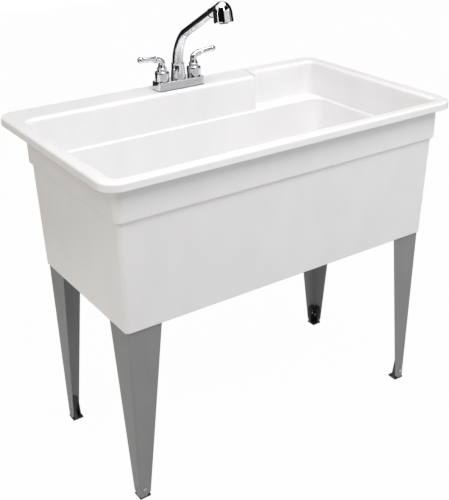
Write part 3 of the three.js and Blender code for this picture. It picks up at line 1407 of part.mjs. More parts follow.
[['left', -1], ['right', 1]].forEach(([side, sign]) => {
  const valve = new THREE.Group();
  valve.position.x = sign * valveX;
  valve.add(
    meshOf(`cartridge_${side}`, cartridge(), brass()),
    meshOf(`bonnet_${side}`, bonnet(), chrome()),
    meshOf(`mounting_washer_${side}`, mountingWasher(), greyPlastic()),
    meshOf(`mounting_nut_${side}`, mountingNut(), blackPlastic()),
  );
  const handle = new THREE.Group();
  handle.rotation.z = sign < 0 ? Math.PI : 0;
  handle.add(
    meshOf(`stem_${side}`, stem(), brass()),
    meshOf(`lever_${side}`, lever(sign), chrome()),
    meshOf(`lever_screw_${side}`, leverScrew(sign), zincSteel()),
  );
  valve.add(handle);
  faucet.add(valve);
});

const spray = new THREE.Group();
spray.position.copy(armEnd);
spray.rotation.x = Math.PI / 2 - ARM_SLOPE;
spray.add(
  meshOf('dock_bush', dockBush(), blackPlastic()),
  meshOf('spray_ring', sprayRing(), blackPlastic()),
  meshOf('spray_shell', sprayShell(), chrome()),
  meshOf('spray_face', sprayFace(), blackPlastic()),
  meshOf('aerator', aerator(), greyPlastic()),
  meshOf('hose_tail', hoseTail(), hoseNylon()),
);
faucet.add(spray);

export default sink;
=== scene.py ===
# %% [markdown]
# # A laundry sink, surface by surface
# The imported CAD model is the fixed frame: it says where every piece is and which moving body
# it belongs to. This lesson gives the sink its real surfaces and finishes around that frame.
# Sizes are written in millimetres, as on a drawing, and become metres when a mesh is made.

# %% Load the frame
import json
import math
import bmesh
import bpy
import numpy as np
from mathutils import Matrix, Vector

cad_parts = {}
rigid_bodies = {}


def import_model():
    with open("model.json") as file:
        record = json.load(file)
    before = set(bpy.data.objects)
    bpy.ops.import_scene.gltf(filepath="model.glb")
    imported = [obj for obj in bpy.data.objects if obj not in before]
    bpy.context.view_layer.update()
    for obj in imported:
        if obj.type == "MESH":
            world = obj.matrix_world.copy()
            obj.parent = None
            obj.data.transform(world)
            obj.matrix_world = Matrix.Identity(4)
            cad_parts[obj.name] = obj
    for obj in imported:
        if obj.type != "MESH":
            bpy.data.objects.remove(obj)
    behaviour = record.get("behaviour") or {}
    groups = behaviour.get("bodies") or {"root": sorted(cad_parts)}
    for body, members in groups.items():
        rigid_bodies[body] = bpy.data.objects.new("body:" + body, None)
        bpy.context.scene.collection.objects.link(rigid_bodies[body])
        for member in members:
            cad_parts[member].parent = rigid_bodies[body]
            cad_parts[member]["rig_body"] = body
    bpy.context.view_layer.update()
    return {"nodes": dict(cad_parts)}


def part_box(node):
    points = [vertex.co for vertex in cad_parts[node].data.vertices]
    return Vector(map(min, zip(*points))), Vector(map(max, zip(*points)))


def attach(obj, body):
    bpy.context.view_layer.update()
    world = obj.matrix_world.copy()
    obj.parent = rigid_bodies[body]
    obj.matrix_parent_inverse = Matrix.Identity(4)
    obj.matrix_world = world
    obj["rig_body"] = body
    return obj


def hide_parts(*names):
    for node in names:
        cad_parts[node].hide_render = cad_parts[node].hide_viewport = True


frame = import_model()
MM = 0.001

# %% [markdown]
# ## The camera first
# The camera was solved from the photograph's straight edges. The picture's middle isn't the point
# the lens looks at, because the photograph is a cropped one, so a small shift makes up for it.

# %% Camera
PICTURE = (449, 500)
FOCAL_PIXELS = 871.2
LENS_CENTRE = (249.0, 193.1)
CAMERA_PLACE = (-1197.4, -1785.9, 1524.6)
CAMERA_AZIMUTH, CAMERA_ELEVATION, CAMERA_ROLL = (math.radians(angle) for angle in (-35.1, 22.6, -0.6))
SENSOR = 36.0

camera = bpy.data.objects.new("camera", bpy.data.cameras.new("camera"))
bpy.context.collection.objects.link(camera)
longer_side = max(PICTURE)
camera.data.sensor_width = SENSOR
camera.data.lens = FOCAL_PIXELS / longer_side * SENSOR
camera.data.shift_x = (PICTURE[0] / 2 - LENS_CENTRE[0]) / longer_side
camera.data.shift_y = (LENS_CENTRE[1] - PICTURE[1] / 2) / longer_side
camera.data.clip_end = 100
back = Vector((
    math.sin(CAMERA_AZIMUTH) * math.cos(CAMERA_ELEVATION),
    -math.cos(CAMERA_AZIMUTH) * math.cos(CAMERA_ELEVATION),
    math.sin(CAMERA_ELEVATION),
))
camera.location = Vector(CAMERA_PLACE) * MM
camera.rotation_euler = (-back).to_track_quat("-Z", "Y").to_euler()
camera.rotation_euler.rotate_axis("Z", CAMERA_ROLL)
bpy.context.scene.camera = camera
print(f"lens {camera.data.lens:.2f} mm, shift {camera.data.shift_x:.4f}, {camera.data.shift_y:.4f}")

# %% [markdown]
# ## Surfaces from numbers
# Almost every piece here is a grid: one direction runs round the piece and the other runs along it.
# A grid keeps its quads in order, closes on itself without a seam, and can be worked out as whole arrays.
# Booleans are kept for drilled holes, where a grid would have to bend round each one.

# %% Grids, meshes and pieces
SHARP_ANGLE, BEVEL_ANGLE = math.radians(35), math.radians(40)
MERGE_DISTANCE, LEAST_EDGE = 1e-6, 1e-7  # metres


def surface(points, close_rows=False):
    """Turns rows x columns x 3 points, in millimetres, into vertices and the quads between neighbouring
    rows. Columns always close; rows close if asked."""
    rows, columns, _ = points.shape
    here = np.arange(rows * columns).reshape(rows, columns)
    following = np.roll(here, -1, axis=0)
    if not close_rows:
        here, following = here[:-1], following[:-1]
    corners = (here, np.roll(here, -1, axis=1), np.roll(following, -1, axis=1), following)
    return points.reshape(-1, 3), np.stack(corners, axis=-1).reshape(-1, 4)


def new_mesh(name, parts):
    """Closed surfaces as one smooth-shaded mesh in metres: face numbers moved up to match one list of
    vertices, poles merged, faces outwards and sharp edges kept."""
    starts = np.cumsum([0] + [len(vertices) for vertices, _ in parts[:-1]])
    vertices = np.vstack([vertices for vertices, _ in parts])
    faces = np.vstack([faces + start for (_, faces), start in zip(parts, starts)])
    mesh = bpy.data.meshes.new(name)
    mesh.from_pydata((vertices * MM).tolist(), [], faces.tolist())
    shape = bmesh.new()
    shape.from_mesh(mesh)
    bmesh.ops.remove_doubles(shape, verts=shape.verts, dist=MERGE_DISTANCE)
    bmesh.ops.dissolve_degenerate(shape, edges=shape.edges, dist=LEAST_EDGE)
    bmesh.ops.recalc_face_normals(shape, faces=shape.faces)
    shape.to_mesh(mesh)
    shape.free()
    mesh.shade_smooth()
    mesh.set_sharp_from_angle(angle=SHARP_ANGLE)
    return mesh


def new_object(name, data):
    made = bpy.data.objects.new(name, data)
    bpy.context.collection.objects.link(made)
    return made


def drilled(made, cutters):
    """Cuts closed surfaces out of an object, and leaves the result as its plain mesh."""
    for number, parts in enumerate(cutters):
        tool = new_object(f"tool_{number}", new_mesh(f"tool_{number}", parts))
        hole = made.modifiers.new("hole", "BOOLEAN")
        hole.operation = "DIFFERENCE"
        hole.solver = "EXACT"
        hole.object = tool
        evaluated = made.evaluated_get(bpy.context.evaluated_depsgraph_get())
        result = bpy.data.meshes.new_from_object(evaluated)
        made.modifiers.clear()
        made.data = result
        bpy.data.objects.remove(tool)
    made.data.set_sharp_from_angle(angle=SHARP_ANGLE)
    return made


def piece(name, parts, look, replaced, cutters=(), soften=0.0):
    """A finished piece: mesh, material and the nodes it stands for, on those nodes' body."""
    made = new_object(name, new_mesh(name, parts))
    if cutters:
        drilled(made, cutters)
    if soften:
        bevel = made.modifiers.new("soft_edges", "BEVEL")
        bevel.width = soften * MM
        bevel.segments = 2
        bevel.limit_method = "ANGLE"
        bevel.angle_limit = BEVEL_ANGLE
        bevel.harden_normals = True
    weights = made.modifiers.new("flat_faces_lead", "WEIGHTED_NORMAL")
    weights.keep_sharp = True
    made.data.materials.clear()
    made.data.materials.append(look)
    body = frame["nodes"][replaced[0]]["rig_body"]
    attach(made, body)
    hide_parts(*replaced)
    print(f"{name}: {len(made.data.polygons)} faces on {body}")
    return made


# %% [markdown]
# ## Profiles, turned pieces and bent bars
# A corner on a real part is never sharp. The profile helper takes a drawing's corner points with a radius
# for each, and puts an arc in every corner. Turning that profile gives nuts, bells and flanges.
# The same idea along a curve gives the spout and the levers: a circle carried along a path.

# %% Profile and path helpers
def rounded_profile(corners, steps=5):
    """Each corner is (radius from the axis, height, rounding). The arc touches both sides of the corner:
    its centre is on the bisector, at rounding / sin(half the corner's angle) from the corner. Places are
    complex numbers, so a turn by an angle is a product with exp(i angle)."""
    places = [complex(radius, height) for radius, height, _ in corners]
    points = [places[0]]
    for before, corner, after, (_, _, rounding) in zip(places, places[1:], places[2:], corners[1:]):
        if rounding <= 0:
            points.append(corner)
            continue
        a = (before - corner) / abs(before - corner)
        b = (after - corner) / abs(after - corner)
        half = math.acos((a * b.conjugate()).real) / 2
        centre = corner + (a + b) / abs(a + b) * rounding / math.sin(half)
        start, end = (corner + side * rounding / math.tan(half) - centre for side in (a, b))
        points.extend(centre + start * np.exp(1j * np.linspace(0, np.angle(end / start), steps + 1)))
    points = np.array([*points, places[-1]])
    return np.column_stack([points.real, points.imag])


def circle_angles(count):
    return np.linspace(0, 2 * math.pi, count, endpoint=False)


def turned(profile, sides, centre=(0, 0)):
    """Profile points (r, z) carried round an upright axis: x = r cos a, y = r sin a."""
    angles = circle_angles(sides)
    radius, height = profile[:, 0:1], profile[:, 1:2]
    x = centre[0] + radius * np.cos(angles)
    y = centre[1] + radius * np.sin(angles)
    return np.stack([x, y, np.broadcast_to(height, x.shape)], axis=-1)


def lathe(corners, sides=64, centre=(0, 0), steps=5):
    """A turned piece. A profile that starts and ends on the axis makes a solid, and one that stays off the
    axis makes a ring, closed from its last corner to its first."""
    ring = corners[0][0] > 0
    profile = rounded_profile([*corners, corners[0]] if ring else corners, steps)
    return surface(turned(profile[:-1] if ring else profile, sides, centre), close_rows=ring)


def bezier(points, samples):
    """A Bezier curve of degree n: the sum over i of C(n, i) (1-t)^(n-i) t^i times control point i."""
    degree = len(points) - 1
    t = np.linspace(0, 1, samples)[:, None]
    shares = [math.comb(degree, i) * (1 - t) ** (degree - i) * t ** i for i in range(degree + 1)]
    return np.hstack(shares) @ np.array(points, float)


def unrounded(points):
    """Points of a curve as a profile's corners, which need no rounding of their own."""
    return [(radius, height, 0) for radius, height in points]


def swept(path, radius, across, sides):
    """A circle of the given radius at each point of a path that lies in one plane. across is that plane's
    normal, so each circle is spanned by across and by the tangent turned a quarter round it."""
    tangent = np.gradient(path, axis=0)
    tangent /= np.linalg.norm(tangent, axis=1, keepdims=True)
    across = np.array(across, float)
    upward = np.cross(tangent, across)
    angles = circle_angles(sides)
    ring = across * np.cos(angles)[:, None] + upward[:, None, :] * np.sin(angles)[:, None]
    return path[:, None, :] + radius[:, None, None] * ring


def capped(points):
    """Closes a tube of rings with a flat disc at each end, by adding each end ring's middle as a ring."""
    middle = lambda ring: np.broadcast_to(ring.mean(axis=0), ring.shape)[None]
    return surface(np.concatenate([middle(points[0]), points, middle(points[-1])]))


def rounded_rectangle(length, depth, corner, steps=8):
    """Outline of a rectangle with arcs for corners, centred on the origin, counter-clockwise."""
    arc = np.linspace(0, math.pi / 2, steps + 1)
    quarters = np.arange(4)[:, None] * math.pi / 2
    signs = np.array([[1, 1], [-1, 1], [-1, -1], [1, -1]])
    centres = signs * (np.array([length, depth]) / 2 - corner)
    x = centres[:, 0:1] + corner * np.cos(arc + quarters)
    y = centres[:, 1:2] + corner * np.sin(arc + quarters)
    return np.stack([x, y], axis=-1).reshape(-1, 2)


def at_height(ring, z):
    """Points with one more coordinate, which is the same for all of them."""
    return np.column_stack([ring, np.full(len(ring), z)])


def block(x, y, z, edge):
    """A box with softened edges between (low, high) limits in millimetres."""
    length, depth = x[1] - x[0], y[1] - y[0]
    middle = [(x[0] + x[1]) / 2, (y[0] + y[1]) / 2]
    levels = zip((edge, 0, 0, edge), (z[0], z[0] + edge, z[1] - edge, z[1]))
    return capped(np.stack([
        at_height(rounded_rectangle(length - 2 * inset, depth - 2 * inset, edge, 2) + middle, height)
        for inset, height in levels]))


def placed(part, origin, columns):
    """Moves a part into the frame: columns are where its own X, Y and Z axes point."""
    vertices, faces = part
    return vertices @ np.array(columns, float) + np.array(origin, float), faces


# %% [markdown]
# ## Finishes
# Each finish starts from what the real one is and how it was made. The colours are written as a painter
# would pick them from a screen, in sRGB, and one function turns them to the linear values that light needs.
# Patterns read Object coordinates, so they stay fixed to the piece when the sink's parts move.

# %% Material helpers
EVEN = (1, 1, 1)
NOISE_SPREAD, TONE_SPREAD = (0.3, 0.7), (0.35, 0.65)  # nearly all of a noise pattern lies between these


def linear(code):
    """sRGB hex to linear light: c/12.92 below 0.04045, else ((c + 0.055)/1.055)^2.4."""
    channels = [int(code[i:i + 2], 16) / 255 for i in (1, 3, 5)]
    return [c / 12.92 if c <= 0.04045 else ((c + 0.055) / 1.055) ** 2.4 for c in channels] + [1.0]


def new_material(name):
    made = bpy.data.materials.new(name)
    made.use_nodes = True
    return made, made.node_tree


def node(tree, kind, settings=None, links=None):
    """Adds a node. settings are its own properties or input values; links feed its inputs from sockets."""
    made = tree.nodes.new(kind)
    for key, value in (settings or {}).items():
        if hasattr(made, key):
            setattr(made, key, value)
        else:
            made.inputs[key].default_value = value
    for key, source in (links or {}).items():
        tree.links.new(source, made.inputs[key])
    return made


def finish(name, tones, roughness, relief, patterns, sockets=None):
    """A material from up to three noise patterns, each (blotches in millimetres, detail, stretch): tone
    blends two tones, wear moves the roughness between two values, and grain raises the surface by
    relief, which is (height in millimetres, strength)."""
    made, tree = new_material(name)
    shader = tree.nodes["Principled BSDF"]
    for key, value in {"Base Color": linear(tones[-1]), **(sockets or {})}.items():
        shader.inputs[key].default_value = value
    place = node(tree, "ShaderNodeTexCoord").outputs["Object"]
    noise = {}
    for use, (size, detail, stretch) in patterns.items():
        scaled = node(tree, "ShaderNodeMapping", {"Scale": stretch}, {"Vector": place}).outputs["Vector"]
        settings = {"Scale": 1 / (size * MM), "Detail": detail}
        noise[use] = node(tree, "ShaderNodeTexNoise", settings, {"Vector": scaled}).outputs["Fac"]
    if "tone" in noise:
        ramp = node(tree, "ShaderNodeValToRGB", None, {"Fac": noise["tone"]})
        for end, position, tone in zip(ramp.color_ramp.elements, TONE_SPREAD, tones):
            end.position, end.color = position, linear(tone)
        tree.links.new(ramp.outputs["Color"], shader.inputs["Base Color"])
    limits = zip(("From Min", "From Max", "To Min", "To Max"), (*NOISE_SPREAD, *roughness))
    spread = node(tree, "ShaderNodeMapRange", dict(limits), {"Value": noise["wear"]})
    tree.links.new(spread.outputs["Result"], shader.inputs["Roughness"])
    settings = {"Distance": relief[0] * MM, "Strength": relief[1]}
    bump = node(tree, "ShaderNodeBump", settings, {"Height": noise["grain"]})
    tree.links.new(bump.outputs["Normal"], shader.inputs["Normal"])
    return made


# %% [markdown]
# ### Structural-foam polypropylene
# The tub is one moulding of polypropylene with gas blown into it. The mould was blasted, so the skin is
# satin with a grain of about a millimetre, and the foam's flow leaves very faint lighter swirls
# a hand's breadth across. That keeps the big walls from looking like flat paint.

# %% White tub
white_foam = finish(
    "structural_foam_polypropylene", ("#F2F2F3", "#F5F5F6"), (0.38, 0.48), (0.05, 0.5),
    {"tone": (90, 3.0, (1, 1, 0.6)), "wear": (14, 2.0, EVEN), "grain": (1.6, 2.0, EVEN)}, {"IOR": 1.49})

# %% [markdown]
# ### Powder-coated steel
# The legs are pressed from sheet and powder coated a mid grey. Powder flows out like orange peel,
# with dimples two or three millimetres apart, and the coat is a little uneven in tone. It is flatter than
# gloss paint, so less of the bright room shows along a flange that is seen edge on.

# %% Grey legs
powder_coat = finish(
    "powder_coated_steel", ("#8C8E8E", "#929494"), (0.46, 0.6), (0.06, 0.6),
    {"tone": (60, 4.0, (1, 1, 0.35)), "wear": (9, 2.0, EVEN), "grain": (2.6, 1.0, EVEN)},
    {"Specular IOR Level": 0.3})

# %% [markdown]
# ### Chrome on brass and zinc
# Plated chrome is a mirror with very little colour of its own, so its look comes from what it reflects.
# Water marks and the polisher's wheel leave the roughness slightly patchy.

# %% Chrome
chrome = finish(
    "chrome_plated_brass", ("#EBECEE",), (0.03, 0.07), (0.02, 0.2),
    {"wear": (11, 3.0, EVEN), "grain": (17, 1.0, EVEN)}, {"Metallic": 1.0})

# %% [markdown]
# ### Small hardware
# Moulded black and grey plastics have a fine spark-eroded grain. Zinc plate on the screws is satin and
# faintly blotched, turned brass and stainless are bright but uneven from the tool, and rubber is dull.
# They differ in colour, gloss and grain, so a table of them is enough.

# %% Plastics, rubber and small metals
ROUGHNESS_SPREAD, FINE_RELIEF = 0.15, (0.04, 0.5)
SMALL_HARDWARE = {  # two tones, roughness, grain in millimetres, metallic
    "black_polypropylene": (("#151617", "#1C1D1F"), 0.5, 0.9, 0.0),
    "grey_acetal": (("#8D9092", "#9A9D9F"), 0.45, 0.9, 0.0),
    "nitrile_rubber": (("#181819", "#202022"), 0.8, 1.4, 0.0),
    "zinc_plated_steel": (("#A9ACB0", "#BCC0C4"), 0.3, 1.2, 0.95),
    "polished_stainless_steel": (("#BEC1C3", "#CACDCF"), 0.22, 1.0, 1.0),
    "turned_brass": (("#AE8A44", "#C09C55"), 0.32, 1.0, 1.0),
    "nylon_braid": (("#33363A", "#4A4E53"), 0.6, 1.5, 0.0),
}
black_plastic, grey_plastic, rubber, zinc_plate, stainless, brass, braid = (
    finish(name, tones, (rough * (1 - ROUGHNESS_SPREAD), rough * (1 + ROUGHNESS_SPREAD)), FINE_RELIEF,
           {"tone": (12, 3.0, EVEN), "wear": (5, 2.0, EVEN), "grain": (grain, 2.0, EVEN)},
           {"Metallic": metallic})
    for name, (tones, rough, grain, metallic) in SMALL_HARDWARE.items())
print("finishes:", len(bpy.data.materials))

# %% [markdown]
# ## The tub
# The tub is one skin: it starts at the drain, crosses the floor, climbs the lower walls to the ledge,
# the upper walls to the rim, rolls over the lip and comes back under as the band, the body and the skirt.
# All of that is one stack of closed outlines, each with the same number of points. The deck's notch at
# the right is part of the outline, so the recess needs no cutting: where there is no notch,
# the same points simply lie along the straight back edge.

# %% Tub sizes
RIM_WIDTH, RIM_DEPTH, RIM_HEIGHT = 1016.0, 610.0, 870.0
SKIRT_BOTTOM, LEDGE, STEP_FOOT = 486.0, 767.0, 761.0
FLOOR, FLOOR_EDGE, WALL = 540.0, 548.0, 6.0
LIP_FOOT = 850.0
NOTCH_LEFT, NOTCH_DEPTH = 242.5, 45.0
NOTCH_INNER_RADIUS, NOTCH_OUTER_RADIUS, NOTCH_END_RADIUS, LEAST_RADIUS = 30.0, 20.0, 18.0, 3.0
BAND_FOOT = dict(side=33.0, front=29.0, back=90.0, front_corner=18.0, back_corner=30.0)
BAND_TOP = dict(side=31.5, front=27.5, back=88.5, front_corner=19.5, back_corner=31.5)
BODY_TOP = dict(side=41.0, front=37.0, back=98.0, front_corner=12.0, back_corner=22.0)
BODY_FOOT = dict(side=47.5, front=49.0, back=108.0, front_corner=12.0, back_corner=22.0)
RIM_EDGE = dict(side=0.0, front=0.0, back=0.0, front_corner=46.0, back_corner=46.0)


def grown(wall, distance, fill=0.0):
    """The same walls moved outwards, with corners rounded by as much more and by fill."""
    corners = {key: max(wall[key] + distance, LEAST_RADIUS) + fill for key in ("front_corner", "back_corner")}
    return dict(wall, **{key: wall[key] - distance for key in ("side", "front", "back")}, **corners)


def body_wall(z):
    """The body's outside at a height: a straight line between its top and its foot."""
    share = (STEP_FOOT - z) / (STEP_FOOT - SKIRT_BOTTOM)
    return {key: BODY_TOP[key] + (BODY_FOOT[key] - BODY_TOP[key]) * share for key in BODY_TOP}


# %% [markdown]
# ### One outline
# A wall is five numbers: how far its side, front and back stand in from the rim's edge, and how round its
# corners are. An outline has six arcs with points between them. Every outline has the same count, so the
# quads between two of them run straight up the wall.

# %% Tub outlines
CORNER_STEPS = 10
STRAIGHTS = (8, 3, 18, 14, 28, 14)  # points along: recess, its end, deck, left side, front, right side


def outline(wall, z, notch=None):
    """A closed ring of points at height z. Six corners in order: back right, the recess's inner corner,
    the deck's end, back left, front left, front right. notch is (depth, spread), or None for a straight
    back, where the notch's points lie along the edge."""
    left, right = wall["side"] - RIM_WIDTH / 2, RIM_WIDTH / 2 - wall["side"]
    near, far = wall["front"] - RIM_DEPTH / 2, RIM_DEPTH / 2 - wall["back"]
    depth, spread = notch or (0.0, 0.0)
    back_radius, front_radius = wall["back_corner"], wall["front_corner"]
    right_radius = min(back_radius, NOTCH_END_RADIUS + spread) if notch else back_radius
    notch_left = NOTCH_LEFT - spread
    inner, outer = NOTCH_INNER_RADIUS + spread, NOTCH_OUTER_RADIUS
    corners = np.array([  # centre x, centre y, radius, first and last angle
        [right - right_radius, far + depth - right_radius, right_radius, 0, 90],
        [notch_left + inner, far + depth - inner, inner, 90, 180],
        [notch_left - outer, far + outer, outer, 0, -90],
        [left + back_radius, far - back_radius, back_radius, 90, 180],
        [left + front_radius, near + front_radius, front_radius, 180, 270],
        [right - front_radius, near + front_radius, front_radius, 270, 360],
    ])
    share = np.linspace(0, 1, CORNER_STEPS + 1)
    angle = np.radians(corners[:, 3:4] + share * (corners[:, 4:5] - corners[:, 3:4]))
    directions = np.stack([np.cos(angle), np.sin(angle)], axis=-1)
    arcs = corners[:, None, :2] + corners[:, 2, None, None] * directions
    if not notch:
        count = len(share)
        start, end = NOTCH_LEFT + NOTCH_INNER_RADIUS, NOTCH_LEFT - outer
        straight = at_height(np.linspace(start, end, 2 * count + STRAIGHTS[1]), far)
        arcs[1], arcs[2] = straight[:count], straight[-count:]
    pieces = []
    for arc, following, count in zip(arcs, np.roll(arcs, -1, axis=0), STRAIGHTS):
        pieces += [arc, np.linspace(arc[-1], following[0], count + 2)[1:-1]]
    return at_height(np.vstack(pieces), z)


def quarter(steps):
    """A quarter round as pairs (across, along), both from 0 to 1: (1 - cos a, sin a)."""
    angles = np.linspace(0, math.pi / 2, steps + 1)
    return list(zip(1 - np.cos(angles), np.sin(angles)))


def rounding(wall, height, reach, steps, rise=None, notch=None, backwards=False):
    """Outlines round an edge that ends at a height. The wall moves outwards by reach * (1 - cos a) while
    what is left to climb is rise * (1 - sin a), and rise is reach unless given. notch is a function of
    how far the wall has moved."""
    rise = reach if rise is None else rise
    rings = []
    for across, upwards in quarter(steps):
        moved = reach * across
        rings += [outline(grown(wall, moved), height - rise * (1 - upwards), notch and notch(moved))]
    return rings[::-1] if backwards else rings


# %% [markdown]
# ### From the drain to the rim and back
# All edges are rounded, because plastic flows badly round a sharp one and a sharp rim would hurt an arm.
# The lip is hollow below, because a thick one would shrink and sink in the mould.

# %% Tub skin
DRAIN_HOLE, DRAIN_LAND = 27.0, 44.0
FLOOR_FILLET, RIM_INNER, RIM_OUTER, LEDGE_ROUND, LEDGE_HOLLOW = 30.0, 10.0, 6.0, 3.0, 2.5
LIP_WALL, LIP_DRAFT, LIP_ROUND = 5.0, 0.8, 1.2
BAND_ROOT, BAND_ROUND, BAND_DROP = 3.0, 2.0, 0.5
SKIRT_WALL, SKIRT_ROUND, UNDERSIDE_ROUND, UNDERSIDE_INSET = 5.0, 1.0, 3.0, 89.0
UPPER_FILL, LOWER_FILL = 6.0, 16.0  # how much rounder the walls' corners are inside
FLOOR_SLOPE = (0.02, 0.35, 0.7, 0.97)  # shares of the way from the drain to the walls
WALL_LEVELS, BODY_LEVEL = (580.0, 700.0), 640.0
upper_wall = grown(BAND_TOP, -WALL, UPPER_FILL)
ledge_wall = grown(BAND_FOOT, -WALL, UPPER_FILL)


def lower_wall(z):
    return grown(body_wall(z), -WALL, LOWER_FILL)


floor_wall = lower_wall(FLOOR_EDGE + FLOOR_FILLET)
drain_middle = np.array([0, (floor_wall["front"] - floor_wall["back"]) / 2])


def circle_under(ring, radius, z):
    """A circle round the drain whose points lie in the same directions as the ring's points."""
    offset = ring[:, :2] - drain_middle
    direction = offset / np.linalg.norm(offset, axis=1, keepdims=True)
    return at_height(drain_middle + radius * direction, z)


def inside_rings():
    """From the drain's upper edge to the rim."""
    opened = lambda moved: (NOTCH_DEPTH, moved)
    fillet = rounding(floor_wall, FLOOR_EDGE, -FLOOR_FILLET, 8, backwards=True)
    land = circle_under(fillet[0], DRAIN_LAND, FLOOR)
    rings = [circle_under(fillet[0], DRAIN_HOLE, FLOOR), land]
    rings += [land + (fillet[0] - land) * share for share in FLOOR_SLOPE] + fillet
    rings += [outline(lower_wall(z), z) for z in (*WALL_LEVELS, LEDGE - LEDGE_ROUND - 1)]
    rings += rounding(lower_wall(LEDGE), LEDGE, LEDGE_ROUND, 4)
    rings += rounding(ledge_wall, LEDGE, -LEDGE_HOLLOW, 4, notch=opened, backwards=True)
    rings += [outline(upper_wall, RIM_HEIGHT - RIM_INNER - 1.5, opened(0))]
    return rings + rounding(upper_wall, RIM_HEIGHT, RIM_INNER, 8, notch=opened)


def outside_rings():
    """From the rim over the lip, down the outside and back under the floor to the drain's lower edge."""
    closed = lambda moved: (NOTCH_DEPTH, WALL)
    lip_top, underside = RIM_HEIGHT - WALL, FLOOR_EDGE - WALL
    lip = grown(RIM_EDGE, -LIP_DRAFT)
    rings = rounding(lip, RIM_HEIGHT, -RIM_OUTER, 6, rise=RIM_OUTER, backwards=True)
    rings += rounding(RIM_EDGE, LIP_FOOT, -LIP_ROUND, 3)
    rings += [outline(grown(RIM_EDGE, -LIP_WALL), LIP_FOOT)]
    rings += [outline(grown(lip, -LIP_WALL), lip_top - 2), outline(grown(lip, -LIP_WALL - 2), lip_top)]
    rings += rounding(BAND_TOP, lip_top, BAND_ROOT, 4, notch=closed, backwards=True)
    rings += rounding(BAND_FOOT, LEDGE - BAND_DROP, -BAND_ROUND, 4, notch=closed)
    rings += [outline(grown(BODY_TOP, 1.5), STEP_FOOT + 1.0, (NOTCH_DEPTH + 4, WALL)),
              outline(grown(BODY_TOP, 0.5), STEP_FOOT + 0.2, (NOTCH_DEPTH + 3, WALL - 1)),
              outline(BODY_TOP, STEP_FOOT - 0.8)]
    rings += [outline(body_wall(z), z) for z in (STEP_FOOT - 3, BODY_LEVEL, SKIRT_BOTTOM + 4)]
    rings += rounding(BODY_FOOT, SKIRT_BOTTOM, -SKIRT_ROUND, 3)
    rings += [outline(grown(BODY_FOOT, -SKIRT_WALL), SKIRT_BOTTOM)]
    rings += [outline(grown(body_wall(underside), -SKIRT_WALL), underside - UNDERSIDE_ROUND)]
    for inset in (SKIRT_WALL + UNDERSIDE_ROUND, UNDERSIDE_INSET):
        rings += [outline(grown(body_wall(underside), -inset), underside)]
    return rings + [circle_under(rings[-1], radius, FLOOR - WALL) for radius in (DRAIN_LAND, DRAIN_HOLE)]


skin = np.stack(inside_rings() + outside_rings())
print("tub skin:", skin.shape[0], "outlines of", skin.shape[1], "points")

# %% [markdown]
# ### The walls under the tub
# Under the deck the moulding has thin ribs and a thicker pad where the faucet is clamped. In each lower
# corner an L-shaped socket takes a leg. These are closed shapes that run into the skin, so they join its
# mesh without being merged.

# %% Leg section and socket section
FOLD_SIDE = 455.5  # the leg's outside corner at the skirt's lower edge, from the middle of the tub
FOLD_FRONT, FOLD_BACK = 251.0, 184.5
SIDE_SPLAY, FRONT_SPLAY, BACK_SPLAY = 8.5, 12.0, 8.0
LEG_SHEET, LEG_BEND = 2.0, 5.5
LEG_TOP_WIDTH, LEG_FOOT_WIDTH, LEG_CHAMFER = 89.0, 28.5, 10.0
LEG_FOOT, LEG_TOP = 4.3, 541.7
SOCKET_WALL, SOCKET_RISE, TOUCH_GAP = 5.0, 0.2, 0.3
CORNERS = {
    "front_left": (-1, -1), "front_right": (1, -1),
    "back_left": (-1, 1), "back_right": (1, 1),
}


def fold(front, z):
    """Where the leg's outside corner is at a height, both directions measured outwards."""
    below = (SKIRT_BOTTOM - z) / SKIRT_BOTTOM
    v, splay = (FOLD_FRONT, FRONT_SPLAY) if front else (FOLD_BACK, BACK_SPLAY)
    return FOLD_SIDE - SIDE_SPLAY * below, v - splay * below


def angle_ring(front, z, reach, outer=(0, 0), outer_radius=LEG_BEND, inward=LEG_SHEET, inner_radius=3.5):
    """An L-shaped outline: out along one flange, round the bend, back along the inside. outer says how far
    the outside stands off the leg's own outside, inward how far the inside lies within it."""
    u, v = fold(front, z)
    angles = np.linspace(math.pi / 2, 0, 9)
    arc = np.stack([np.cos(angles), np.sin(angles)], axis=-1)
    outside = np.array([u + outer[0], v + outer[1]]) - outer_radius + outer_radius * arc
    inside = np.array([u, v]) - inward - inner_radius + inner_radius * arc
    outside = np.vstack([[u - reach, v + outer[1]], outside, [u + outer[0], v - reach]])
    inside = np.vstack([[u - reach, v - inward], inside, [u - inward, v - reach]])
    return at_height(np.vstack([outside, inside[::-1]]), z)


def closed_by_midline(rings):
    """Ends a stack of L-shaped outlines: each end ring folds flat onto the line midway between its sides."""
    def midline(ring):
        half = len(ring) // 2
        middle = (ring[:half] + ring[half:][::-1]) / 2
        return np.vstack([middle, middle[::-1]])
    return surface(np.stack([midline(rings[0]), *rings, midline(rings[-1])]))


def mirrored(part, signs):
    vertices, faces = part
    return vertices * [signs[0], signs[1], 1], faces


def leg_socket(front):
    """A block between the skirt and the leg's inside wall, with the leg's own slot up its middle."""
    stand_off, bend = ((2.5, 2.5), 8.0) if front else ((2.5, 10.0), 19.5)
    gap = TOUCH_GAP
    around_leg = (LEG_TOP_WIDTH + SOCKET_WALL, stand_off, bend, LEG_SHEET + gap + SOCKET_WALL, 1.5)
    leg_slot = (LEG_TOP_WIDTH + gap, (gap, gap), LEG_BEND + gap, LEG_SHEET + gap, 3.2)
    foot, top = SKIRT_BOTTOM + SOCKET_RISE, FLOOR_EDGE - WALL + 2
    levels = ((top, around_leg), (foot, around_leg), (foot, leg_slot), (LEG_TOP + gap, leg_slot))
    return closed_by_midline([angle_ring(front, z, *section) for z, section in levels])


# %% [markdown]
# ### One moulding
# The skin, the ribs, the pad and the four sockets become one piece, because on the real sink they come
# out of the mould together.

